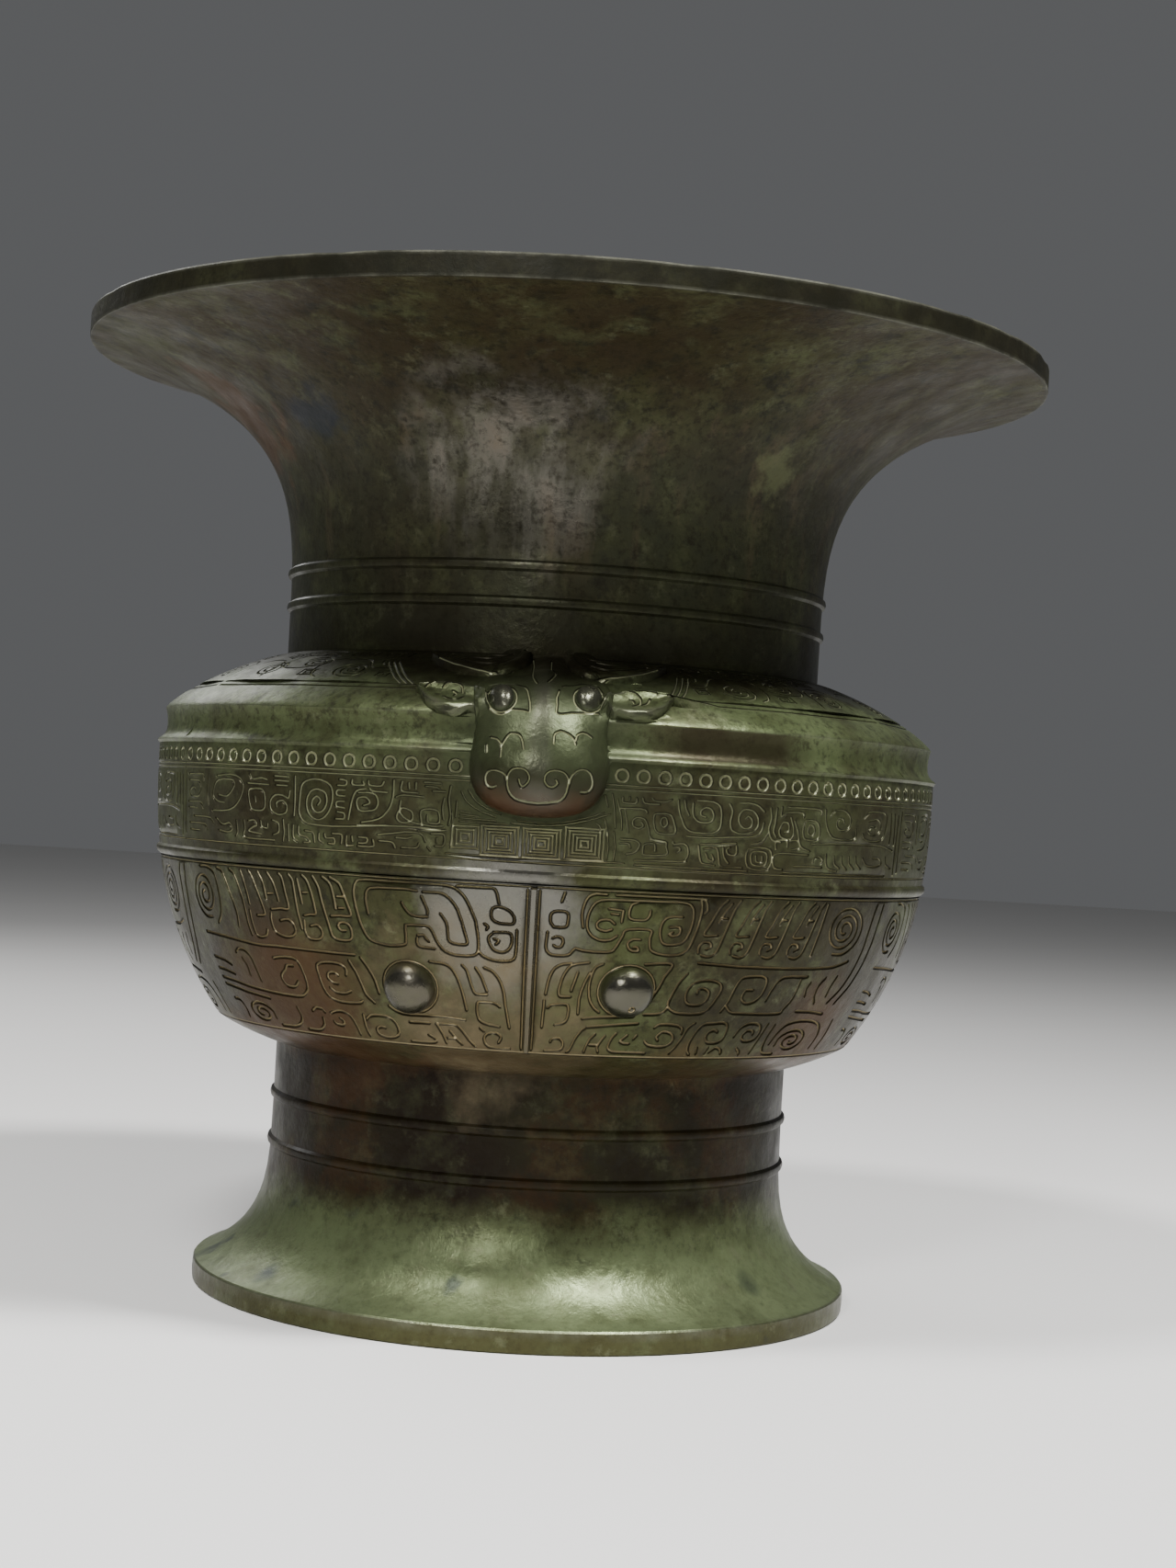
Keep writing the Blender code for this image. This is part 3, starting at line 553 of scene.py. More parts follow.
def mask_strokes():
    """Both halves of the lower belly's mask. They were drawn freely and differ a little."""

    def below_line(z):
        return min(z, MASK_TOP - 1.9)

    strokes = []
    for text in (MASK_RIGHT, MASK_LEFT):
        strokes += runs(text, MASK_REF, MASK_CUT, below_line)
    for bx, by in BOSSES:
        reach = BOSS_RADIUS + BOSS_MOAT
        strokes.append(Stroke(oval(bx, by, BOSS_WIDEN * reach, reach, 24), BOSS_CUT, True))
    strokes.append(Stroke(oval(*PIT, 1.0, 1.0, 10), PIT_CUT, True))
    for side in (-1, 1):
        strokes.append(Stroke([(2.0 * side, z) for z in (105.5, 134.0, 162.0)], NOSE_CUT))
    for a in QUILLS:
        strokes += runs(f"""
        {a + 4.9} 163 {a + 4.2} 159 {a + 3.5} 153 {a + 2.9} 147 {a + 2.4} 143.2 {a + 1.5} 141.7 {a + .2} 142.2
        {a - .3} 142.8 {a - .4} 144.6 {a + .1} 146.6 {a + 1.1} 146.7 {a + 1.5} 145.3 {a + .8} 144.3
        {a + 2.9} 162.6 {a + 1.8} 159 {a + .8} 153.5 {a + .1} 149.3 {a + 2.1} 149.2
        {a + 3.6} 160.6 {a + 2.7} 157.4 {a + 2} 153.8
        {a + 2.5} 155.3 {a + 3.2} 155.4
        """, MASK_REF, MASK_CUT, below_line)
    return strokes + [volute(MASK_REF, *place, MASK_CUT) for place in MASK_SCROLLS]


BELT_RIGHT = """
16 181.3 14.8 181.5 13.8 183 13.5 186 13 189 12 189.7 11.4 188.6 11.5 186.6 12.2 185.9 12.8 186.8 12.5 \
188.2
o 14.2 191 14.2 187.5 14.8 184.7 16.6 184.4 17.2 185.4 17 188 16.4 191.2 15 191.6
o 15.3 190.2 15.1 188.4 15.5 186.8 16 188 15.8 190
17.3 196.8 17.5 193 18 189.5 18.7 186.6 19.8 185.5 22 185.5 23 186.4 23.5 188.5 23.5 193.5 23 196 21.8 \
197 20 197
18.2 196.8 18.4 194 18.9 191.5
19.4 196 19.4 193 19.7 190.6 20.5 189.3 21.9 189.5 22.4 191.5 22.1 193.9 21.3 194.7 20.6 193.6 20.6 \
191.8 21.3 191.2
18.8 184 22 183.8 25.5 184.6 28.2 185 29.6 186.8 30 190.5
24.6 196.6 25.1 194 24.9 190 25.2 187.2 26.3 186 27.9 186.4 29 188.4 29.1 191.7 28.3 194.3 27 194.8 \
26.2 193 26.2 190 27 188 28 188.6 28.2 190.9 27.6 192.4 27.1 191.4
26.2 197 27.7 197.2 29 196.4 30 194.4
35.1 191.8 35.8 188 36.2 184 36.8 182 38.2 180.8
34.4 193 35 189 35 186 34.2 184.8 33 185.6 32.6 188 33.2 190.8 34.1 190.6 34.2 188 33.5 187.4
31 196 31.2 192 30.9 188 31.6 184.4 33 183.6
32 196 31.9 191 31.7 187.4 32.2 185.4
32.8 196.6 32.8 193 33.8 194.6 36.4 194.8 36.6 193
33.6 196.6 39.4 196.4 39.8 194.4
o 36.8 191.4 36.7 187.5 37.2 185.2 38.8 185 39.7 186.4 39.6 190 38.9 192 37.4 192.2
o 37.7 190.2 37.6 187.6 38.3 186.6 38.8 188 38.5 190.2
40.6 196.6 40.8 192 41.6 188 43 185.9 46.2 185.7 47.3 187 47.2 190
41.6 194.2 42.4 196.4 44.2 196.6 45.5 195 45.9 192.2 45.3 189.8 43.9 189.2 43 190.8 43.2 193.2 44.2 \
193.4 44.6 191.8
48.9 194.2 50.4 196.6 53.6 196.8 54.8 195.4 54.7 190.5 53.8 186.4 51.4 185.6 49.5 186.4 48.8 188.4
50 193.2 52.4 194 53.3 192.4 53 189.2 51.4 188 50.2 189.2 50.8 191.2 51.8 191
38.5 183.6 42 184 48 184.2 54 184 57.4 182.4
56.2 196.6 56.4 190 56.2 185
57.4 196.6 57.6 190 57.6 184.6
9.9 181.7 11.8 181.6 12.5 180 12 177.4 10.8 176.4
9.9 180.2 11 180.2 11.3 178.8
35.6 175 38 175.2 40.8 175
39 176.6 39.2 178.4 40.2 178.9 40.9 177.6 40.4 176.4
41.4 180 41.6 176.4 42.4 174.4 44 173.8
43 179.6 43.3 176.6 44.4 174.9
44.6 179.6 44.9 176.6 46 174.6
46.2 179.6 46.5 176.8 47.6 174.8
47.8 179.6 48.1 177 49.2 175
49.4 179.2 50.6 176.6 52.6 176 54.4 177 54 179 52 179.4
55.6 180 56 177 57.6 175.4
12 172.8 20 172.7 28 172.5
34 172.6 42 172.5 56 172.6
9.9 196.6 10 194.8 11.6 194.8 11.7 196.6
10.8 196.8 10.8 195.8
12.5 196.8 12.9 194.9 14.8 194.8
13.8 196.8 14.2 195.9 15.6 195.9 16.4 196.8
9.6 192.6 12.6 192.8 13.2 191.6
58.6 196 58.6 173
13.9 182.2 15.9 181.6 16.1 179.8 16.1 177 13.3 176.5 13 177.5 13.1 180.2 14.3 180.7 14.6 179.6 14.6 178
17 181.7 17.2 180.8 18.3 181.3 19 180.2 19.2 177.7 18.9 175.6 18.2 174.8 12 174.4
17.2 179.9 17.9 179.7 18 178.8 17.6 178.1
20.8 181.3 26 182.4
20.5 181 21 175.7 21.6 174.4 23.1 174
21.3 179.8 23.1 180.3 23.6 177.1 23.9 174.2 24.7 173.5 27.2 173.6
21.6 178.4 22 176.4 22.5 175.5 22.9 176 22.5 178
26.1 181.4 26.2 178.9 25.7 177.9 24.9 178.5 24.7 180 25.1 180.8
24.1 180.6 24.4 177.2 25.1 175
o 28 180.5 28.2 174 31.4 173.8 31.4 180.5
o 28.6 179.4 28.8 175.1 30.8 175 30.8 179.4
29.2 178.3 29.4 176.1 30.2 176.1 30.2 178.2
28.3 182.3 29.9 183.4 30.8 186.6
33.7 173.6 32.5 174 32 176.2 32.1 178.5 33.4 179.6 38 179.4
32.3 181 32.3 184 34 184.3 34.2 182
34.6 184.4 36 184.4 36.3 181.8 34.9 181.1
"""

BELT_LEFT = """
-18.8 195.2 -18.8 192 -16.6 191.6
-17.9 194.8 -17.8 192.9
-16.9 195 -16.9 192.9
-15.8 195.3 -13.5 195.2
-15.6 194 -14.4 193.9 -13.6 193.2
-14.6 192.5 -12.9 192.5
-13 190.4 -13.2 187 -13 183.4
-12.2 194.6 -12.4 190 -12.1 185 -12.3 181.6
-11.3 189.6 -11.4 184.4
-19.6 189.8 -18.6 190.6 -15.8 190.4
-20 195.4 -20 190 -20.6 185.4 -22 182.2 -24.4 180.8
-18.9 188.8 -18.9 184.6 -17.4 182 -14.6 180.9 -13 181.2
-23.4 192.2 -22.9 191.4 -20.9 191.2
-26.4 181.4 -26.2 184 -25.9 188 -25.3 191.2 -24 192
-25 190.6 -22.8 190.6 -22.1 188 -22.6 185.2 -24.6 184.6 -25.2 186.8 -25 188.8 -23.9 189.2 -23.3 187.4 \
-24.2 186.4
-28.3 181.4 -27.1 181.6 -27.1 183.4 -28.1 183.8
-27 185.2 -28.2 185.6 -28.2 187.2 -27.1 187.4
-27 189.2 -28.2 189.4 -28.2 191 -27 191.2
-28.2 192.7 -27 192.8 -26.9 194.4 -27.9 194.7
-26 194.8 -25.9 193.2 -24.3 193.2 -24.4 194.4
-23.6 194.8 -23.4 193.3 -21.8 193.2 -21.4 194.8
-34.2 186.3 -33.9 192.1 -32.6 194.1 -30.7 194.1 -29.2 192.1 -28.9 187.9 -29.4 183.8 -30.5 181.1 -31.8 \
181 -32.8 183.4 -33 187.3 -32.4 190.2 -31.2 191 -30 189.6 -29.8 186.4 -30.4 183.8 -31.4 183.2 -32.1 \
184.8 -32.1 187.2 -31.4 188.6 -30.8 187.2 -31.2 185.6
-34.2 186.3 -34.2 182.4 -33.2 179.6 -31 178.9 -27 179 -21 180.2
-35.1 195 -35 190 -35 185 -35.1 181.6
-35.9 190 -36.2 187.4 -37.2 188.2 -38.6 188.2 -39.4 186 -39.2 183 -38 181.6 -36.6 182.4 -36.4 184.8 \
-37.2 186.4 -38.2 185.8 -38.2 184.2
o -43.7 189.2 -43.5 185.4 -42.9 182.8 -41 182.8 -40.4 184.6 -40.6 188.6 -41.4 190 -42.9 190
-42.4 187.4 -42.2 185.4
-38.8 194.7 -36.2 194.6
-38.8 193.2 -36.2 193.1
-38.4 191.6 -36.4 191.6
-43.6 194.9 -43 193.3 -41.4 193.8 -40.1 193.2
-44 191.8 -39.8 191.6
-51 193.8 -48 194.5 -46 193.6 -44.9 191 -45.2 187.6 -46.4 184 -48.4 182 -52 181.6
-50.6 187.2 -48.8 186.8 -47.6 188.4 -46.8 191 -47.6 192.6 -50.6 192.4 -51.6 190 -51.8 186.6 -50.6 184.8 \
-49 184.6
-53.2 194 -53.4 188 -53 183.4
-59.2 194 -55 194 -54.4 192
-59 191.8 -56 191.6 -55.2 189 -56 186.4 -58 186.2 -58.8 188 -57.8 189.4 -57 188.6
-59.2 184.2 -55.6 184.2 -54.4 182.2
-59 182.2 -56.4 182
-44.6 179 -44.4 176 -44.7 174.2 -44 172.9 -38.6 172.8
-43.7 178.8 -42.6 179.2 -42 177.6 -43 176.6 -43.6 175.2 -41 174.6
-41.2 179.2 -41 177.2 -40 176.8 -39.8 178.4
-39 179.6 -37.9 178.6 -37.8 175.8 -38.8 174.6
-37 180 -36.8 176 -37 172.8
-36.1 178.6 -36 173
-35.2 178.4 -35.2 174.4 -34.4 173
-34.3 178.2 -34.2 175.4 -33 174.6 -32.4 173 -33.4 172.8
-33.2 176.8 -31.9 176.2 -31.6 173
-30.9 176.2 -30.9 174 -30.2 172.9
-30 176.2 -29.8 174.8 -28.6 174.8 -28.5 173 -29.4 173
-28.8 176.4 -27.4 176.2 -27.4 173.2
-26.6 176 -26.6 172.9 -25.6 172.9
-25.8 176 -25.7 174.2
-24.8 175.8 -23.6 175.6 -23.7 174 -24.8 173.8
-24.9 172.8 -22.7 172.9 -22.7 175.2
-22 177 -20 177.7 -17.6 178.6 -15.9 178 -15.3 175.6
-21.8 175 -20 174.8 -19.5 172.9
-19.4 176.4 -18 176.3 -17.1 177
-18.6 173.2 -16.6 173.4 -16.2 175
-15 173.9 -14.6 172.8
-14.6 178.4 -12.9 178.3 -12.9 174.8 -14 174.4
-13.8 177 -13.8 175.6
-25 179.8 -20 180.2 -16 180.2 -13.4 179.8
-57.4 179.2 -53 179 -51.6 177
-58.8 176.8 -54.4 176.6 -53.4 174.6
-51 179 -49.6 177 -48 177.6 -47.2 175.8 -48.2 174.4 -50.4 174.8
-58.6 174.4 -55.6 174.2
-46.2 178.8 -46 175 -46.4 173.2
-60.2 195 -60.2 173
-15.9 181.1 -16 185.9 -13.9 186.1 -13.6 182.2 -15 182 -15.2 184.4
-16.4 179.4 -14.1 179.4 -12.6 179.8
o -19.4 183.7 -18.7 186.3 -17.4 185.4 -17.2 183 -17.9 181.6 -19 181.8
"""

# Thunder pattern under the muzzle: lines that follow the chin, and the edges of nested squares
BELT_MIDDLE = """
-4.2 184.3 -2 183.9 0.4 184 2.8 184.8 5.6 186.6 8.4 189.2
-3.4 185.2 -1 184.9 1 185 3.4 186 6 188 7.6 189.6
-5.6 187 -7.6 188.9 -9 191.4 -9.9 194.6
-6.2 185.9 -8.4 187.9 -10 190.6 -10.8 194
-10.9 187.4 -9.6 187
-10.9 186.2 -8.4 185.9
-10.9 185 -6.2 184.7
-10.9 183.9 -4.6 183.7
-11.9 186.8 -11.7 181 -12 175.4
8.2 183 8.4 178 8.3 173.6
9 183.2 9.3 178 9.2 173.6
7.6 195.6 8 191.6
8.5 196.2 8.9 190.8 9.1 184.6
9.2 194.4 9.8 189 10 184
10.2 191.4 10.6 187 10.9 183.4
6.6 186 7.2 184.6 7.3 182
7.7 187.4 8 184.8 8.1 181.6
-12.6 172.7 -4 172.6 4 172.6 10.6 172.8
"""

NESTS = ((-10.1, 178.6, 1.7, 3.7, 3), (-5.6, 177.9, 2.35, 4.9, 5), (-0.2, 177.8, 2.35, 4.9, 5),
         (5.3, 178.5, 2.45, 5.3, 5))


def belt_strokes():
    """The upper belt between its border lines, fitted from its readings on the leaning photograph."""

    def right(z):
        return 171.3 + (z - 171.6) * 0.955

    def left(z):
        return 171.2 + (z - 170.8) * 1.03

    strokes = runs(BELT_RIGHT, BAND_REF, BELT_CUT, right) + runs(BELT_LEFT, BAND_REF, BELT_CUT, left)
    strokes += runs(BELT_MIDDLE, BAND_REF, CHIN_CUT)
    for place in NESTS:
        strokes += nest(BAND_REF, *place, NEST_CUT)
    return strokes


SHOULDER_ENDS = """
17 230.6 18.4 233 20 236.4 21.2 239
18 230.6 19.4 233 21 236.4 22.2 239
19 230.6 20.4 233 22 236.4 23.2 239
-20.4 230.6 -22.4 233 -25 236.6 -26.8 239
-21.4 230.6 -23.4 233 -26 236.6 -27.8 239
-22.4 230.6 -24.4 233 -27 236.6 -28.8 239
16.2 228.6 24 228.7 34 228.7 44 228.7 58.6 228.7
16.6 230.1 24 230.2 34 230.2 44 230.2 58.6 230.2
-19.4 228.6 -24 228.7 -34 228.7 -44 228.7 -60.2 228.7
-19.8 230.1 -24 230.2 -34 230.2 -44 230.2 -60.2 230.2
24 242.6 34 242.6 44 242.6 58.6 242.6
-28 242.6 -34 242.6 -44 242.6 -60.2 242.6
"""


def shoulder_place(z):
    """Distance up the body of a height on the shoulder."""
    return float(np.interp(z, OUTER[:, 1], ALONG))


def shoulder_band():
    """The dragon band that lies on the shoulder, mirrored on each side of the head."""
    strokes = runs(SHOULDER_ENDS, BAND_REF, BAND_CUT, shoulder_place)
    # Each side's shift in degrees, and how far its dragon is drawn together
    for side, aside, reach in ((-1, -3.4, 0.93), (1, 0.0, 1.0)):
        shift = -READ_SHIFT + aside

        def put(shape, angle, y, broad, high, turns, start, hand=1):
            strokes.append(shape(BAND_REF, side * angle + shift, y, side * broad, high, turns, start, hand,
                                 BAND_CUT))

        def line(*points):
            strokes.append(Stroke([on_sheet(BAND_REF, side * a + shift, y) for a, y in points], BAND_CUT))

        put(square_coil, 24.4 * reach, 243.6, 1.5, 2.6, 6, 45)
        put(volute, 31.4 * reach, 246.6, 3.5, 6.6, 2.4, 200)
        line((22.2, 249.6), (25.6, 249), (27, 252.4), (28.4, 256.4), (32, 257.4), (36.4, 256), (37.2, 250),
             (36.4, 243), (34.4, 239.8))
        put(square_coil, 40 * reach, 243.4, 2.0, 2.8, 7, 135, -1)
        put(volute, 42.4 * reach, 253.6, 3.6, 5.6, 2.3, 20)
        line((38.4, 249.4), (41, 247.6), (45, 247.6), (47, 250.6), (47.2, 256), (46, 260.6), (41, 261.6),
             (37, 260.4))
        put(volute, 52 * reach, 246.6, 3.4, 6.4, 2.3, 160, -1)
        line((47.6, 240), (48, 245), (48.2, 251), (50, 255.2), (54, 256), (56.6, 253), (57, 246),
             (56.6, 240.4))
        for k in range(4):
            put(square_coil, (27.6 + 8.0 * k) * reach, 264.4, 2.4, 2.9, 7, 45 + 90 * (k % 2))
            line(((23.8 + 8.0 * k) * reach, 267.6), ((23.9 + 8.0 * k) * reach, 261.6))
        put(square_coil, 53.6 * reach, 261.2, 3.0, 2.9, 7, 225, -1)
        line((22.6, 252), (24.6, 252.4), (25.4, 255.6), (24.6, 258.6))
        line((48.6, 257.6), (50, 258.4), (50.4, 262))
    return strokes


def mask_form(x, y):
    """The lower belly with nose ridge and boss eyes: places in millimetres, wear, bare wall and polish."""
    radius, z = body_at(y)
    out, up = lean_at(y)
    lift, polish_and_highlight = np.zeros((2, len(x)))
    for bx, by in BOSSES:
        share = np.clip(np.hypot((x - bx) / BOSS_WIDEN, y - by) / BOSS_RADIUS, 0.0, 1.0)
        lift = np.maximum(lift, BOSS_HEIGHT * (1.0 - share ** 2.15) ** 0.5)
        polish_and_highlight = np.maximum(polish_and_highlight, np.clip(6.0 - 6.0 * share, 0.0, 1.0))
    ends = ramp(y, RIDGE_LOW, 1.2) * ramp(y, RIDGE_TOP, -0.8)
    ridge = ramp(np.abs(x), RIDGE_FOOT, RIDGE_HALF - RIDGE_FOOT) * ends
    lift = np.maximum(lift, RIDGE_HIGH * ridge)
    polish_and_highlight = np.maximum(polish_and_highlight, 0.5 * ridge)
    # The mask is rubbed most round the top of its nose
    worn = 0.6 * bell(x, -6.0, 20.0) * bell(y, 150.0, 12.0)
    turn = x / MASK_REF
    radius, z = radius + lift * out, z + lift * up
    return np.stack([radius * np.sin(turn), -radius * np.cos(turn), z], 1), worn, np.ones(len(x)), polish_and_highlight


def mask_loops():
    """Outlines that the mask sheet's forms need: rings up each boss and the sides of the nose ridge."""
    loops = []
    for bx, by in BOSSES:
        for share, count in ((1.0, 40), (0.985, 40), (0.93, 36), (0.82, 28), (0.64, 22), (0.4, 14),
                             (0.18, 8)):
            loops.append(oval(bx, by, share * BOSS_WIDEN * BOSS_RADIUS, share * BOSS_RADIUS, count))
    rows = [RIDGE_LOW, 105.8] + [110.0 + 4.0 * k for k in range(13)] + [161.0, 162.8, 163.4]
    for half in (RIDGE_HALF, RIDGE_FOOT):
        loops.append([(half, z) for z in rows] + [(-half, z) for z in reversed(rows)])
    return loops


# The beast head: places on its front line, as distance up the body, radius and height
HEAD_LINE = ((186.6, 151.6, 186.6), (186.85, 154.6, 186.6), (187.4, 157.4, 187.1), (189.0, 161.2, 189.2),
             (192.0, 164.4, 193.0), (197.0, 166.3, 199.0), (203.0, 166.0, 205.0), (208.0, 164.6, 210.0),
             (214.0, 161.4, 216.0), (220.5, 157.2, 222.0), (228.0, 150.5, 228.0), (236.3, 143.5, 232.2),
             (245.2, 134.5, 235.8), (255.9, 123.0, 239.6), (266.5, 111.0, 243.7), (269.5, 107.6, 243.9))
# Half its width at distances up the body
HEAD_WIDTHS = ((186.6, 3.0), (187.1, 8.0), (188.0, 12.6), (189.6, 16.6), (192.5, 20.2), (197.0, 22.8),
               (202.0, 23.8), (208.0, 23.4), (216.0, 22.2), (224.0, 23.2), (232.0, 23.8), (240.0, 22.8),
               (247.0, 18.0), (256.0, 10.5), (269.5, 8.0))
HEAD_ASIDE = -0.7
# The stretch of the body under the head that is drawn straight
UNDER_HEAD = (203.0, 229.0)
# Eyes, horns and ears, as millimetres across the head and up its front line from the chin
EYES = ((-14.8, 54.8, 4.3, 6.6), (14.9, 57.4, 4.4, 6.8))
NOSTRIL_PIT = (15.8, 60.6, 1.3, 1.8)
HORN_LINE = ((11.5, 95.5), (12.4, 89.0), (15.8, 84.8), (21.0, 83.0), (27.5, 83.0), (34.0, 85.0), (40.5, 88.6))
HORN_HALF = (7.6, 8.0, 8.8, 8.8, 7.8, 5.4, 1.2)
EAR_LINE = ((24.0, 57.0), (28.0, 57.6), (33.0, 58.8), (38.0, 60.4), (43.5, 62.6))
EAR_HALF = (5.0, 7.2, 7.6, 5.8, 0.8)
EAR_DROPS = {-1: 3.6, 1: 2.0}
EYE_HIGH, HORN_HIGH, EAR_HIGH, EAR_DISH = 2.9, 3.0, 4.4, 2.0
# The part of the sheet they lie in: how far across, and from where up the body
FACE_ACROSS, FACE_LOW = 46.0, 214.0
# The row of small rings: its height, each ring's radius, and the low dot inside it
CIRCLE_ROW, CIRCLE_RADIUS, CIRCLE_DOT, DOT_HIGH = 202.5, 2.15, 1.4, 0.6


def head_table():
    """The head's front line drawn finely: place up the body, radius, height, distance along it."""
    knots = [Vector(p) for p in HEAD_LINE]
    knots = [knots[0]] + knots + [knots[-1]]
    fine = []
    for a, b, c, d in zip(knots, knots[1:], knots[2:], knots[3:]):
        fine += [smooth(a, b, c, d, k / 8) for k in range(8)]
    fine = np.array(fine + [knots[-1]])
    fine[:, 0] = np.maximum.accumulate(fine[:, 0] + 1e-7 * np.arange(len(fine)))
    length = np.r_[0.0, np.cumsum(np.hypot(np.diff(fine[:, 1]), np.diff(fine[:, 2])))]
    return np.stack([fine[:, 0], fine[:, 1], fine[:, 2], length], 1)


HEAD = head_table()
CHIN, CROWN = HEAD[0, 0], HEAD[-1, 0]


def head_width(y):
    """Half the head's width at a distance up the body."""
    return np.interp(y, [p[0] for p in HEAD_WIDTHS], [p[1] for p in HEAD_WIDTHS])


def sheet_x(across, y):
    """Sheet place of a distance across from the front, at a distance up the body."""
    return BAND_REF * math.asin(across / float(body_at(y)[0]))


def head_gap(y):
    """Where a level line of the body stops at the left and right side of the head."""
    if not CHIN < y < CROWN:
        return 0.0, 0.0
    return tuple(sheet_x(HEAD_ASIDE + side * 0.99 * float(head_width(y)), y) for side in (-1, 1))


def on_head(points):
    """Sheet places of points given as millimetres across the head and up its front line from the chin."""
    heights = [float(np.interp(up, HEAD[:, 3], HEAD[:, 0])) for _, up in points]
    return [(sheet_x(across, y), y) for (across, _), y in zip(points, heights)]


FORMS = []
for side in (-1, 1):
    for kind, line, halves, drop in (("horn", HORN_LINE, HORN_HALF, 0.0),
                                     ("ear", EAR_LINE, EAR_HALF, EAR_DROPS[side])):
        middle = on_head([(side * across, up - drop) for across, up in line])
        FORMS.append((kind, [Vector(p) for p in middle], halves))


def half_width(along, line, halves):
    """Half a form's width at a share of the way along its middle line."""
    return np.interp(along * (len(line) - 1), range(len(halves)), halves)


def circle_places():
    """Centres of the small rings, as millimetres across the sheet and up it."""
    places = []
    for side, first, count in ((-1, 29.1, 17), (1, 27.7, 18)):
        pitch = (BAND_REF * math.pi / THIRDS - first) / (count - 0.5)
        places += [(side * (first + pitch * k), CIRCLE_ROW) for k in range(count)]
    return places


def face_lift(x, y, across):
    """How far the eyes, horns and ears stand out from the head, and how rubbed they are."""
    lift, polish_and_highlight = np.zeros((2, len(x)))
    length = np.interp(y, HEAD[:, 0], HEAD[:, 3])
    inner = (np.abs(across) < FACE_ACROSS) & (y > FACE_LOW)
    for ex, es, wide, high in EYES:
        ball = np.clip(np.hypot((across - ex) / wide, (length - es) / high), 0.0, 1.0)
        lift = np.maximum(lift, np.where(inner, EYE_HIGH * (1.0 - ball ** 2) ** 0.5, 0.0))
        polish_and_highlight = np.maximum(polish_and_highlight, np.where(inner, np.clip(6.0 - 6.0 * ball, 0.0, 0.7), 0.0))
    near = np.nonzero(inner)[0]
    for kind, line, halves in FORMS:
        off, along = distance(x[near], y[near], line)
        part = np.clip(off / half_width(along, line, halves), 0.0, 1.0)
        dome = (1.0 - part ** 4) ** 0.5
        if kind == "horn":
            height = HORN_HIGH * dome
        else:
            height = EAR_HIGH * dome - EAR_DISH * np.clip(1.0 - (part / 0.75) ** 2, 0.0, 1.0)
            polish_and_highlight[near] = np.maximum(polish_and_highlight[near], 0.5 * bell(part, 0.82, 0.1))
        lift[near] = np.maximum(lift[near], height)
    return lift, polish_and_highlight


def shoulder_form(x, y):
    """The upper belly and shoulder with a beast head: places in millimetres, wear, bare wall and polish, with
    painted highlights on the nose.
    """
    radius, z = body_at(y)
    out, up = lean_at(y)
    turn = x / BAND_REF
    across = radius * np.sin(turn)
    share = np.clip(np.abs(across - HEAD_ASIDE) / head_width(y), 0.0, 1.0)
    rise = np.where((y > CHIN) & (y < CROWN), (1.0 - share ** 2.15) ** 0.46, 0.0)
    # Under the head the body runs straight on, so that its ridge and edge don't show through
    start, stop = UNDER_HEAD
    low, high = body_at(start), body_at(stop)
    under = np.clip(7.0 * (1.0 - share), 0.0, 1.0) * (y > start) * (y < stop) * (rise > 0.0)
    radius = radius + under * (np.interp(y, UNDER_HEAD, (low[0], high[0])) - radius)
    z = z + under * (np.interp(y, UNDER_HEAD, (low[1], high[1])) - z)
    bridge = ramp(np.abs(across), 8.0, -8.0) * ramp(y, 209.0, 12.0) * ramp(y, 262.0, -16.0)
    forward = rise * (np.interp(y, HEAD[:, 0], HEAD[:, 1]) - radius) + bridge
    upward = rise * (np.interp(y, HEAD[:, 0], HEAD[:, 2]) - z) + bridge
    lift, polish_and_highlight = face_lift(x, y, across)
    for cx, cy in circle_places():
        dot = np.clip(1.0 - (np.hypot(x - cx, y - cy) / CIRCLE_DOT) ** 2, 0.0, 1.0)
        lift = np.maximum(lift, DOT_HIGH * dot * (share > 0.999))
    # Worn places: the nose's bridge, also a painted highlight, the ridge over the rings and the shoulder's
    # edge
    bare = rise == 0.0
    edges = 0.35 * bell(y, Z_BAND, 0.7) + 0.35 * bell(y, Z_EDGE, 0.8)
    worn = np.maximum(0.3 * bridge * ramp(y, 212.0, 12.0), edges * bare)
    # The muzzle's tip is rubbed bright, and the line down its middle is a painted highlight
    tip = bell(across, 0.0, 8.0) * bell(y, 192.5, 4.0) * rise
    middle = ramp(y, 196.0, 6.0) * ramp(y, 238.0, -8.0) * bell(across, -0.6, 2.6) * rise
    polish_and_highlight = np.maximum(polish_and_highlight, np.maximum(0.7 * tip, 0.55 * middle))
    radius, z = radius + lift * out, z + lift * up + upward
    placed = np.stack([radius * np.sin(turn), -radius * np.cos(turn) - forward, z], 1)
    return placed, worn, bare, polish_and_highlight


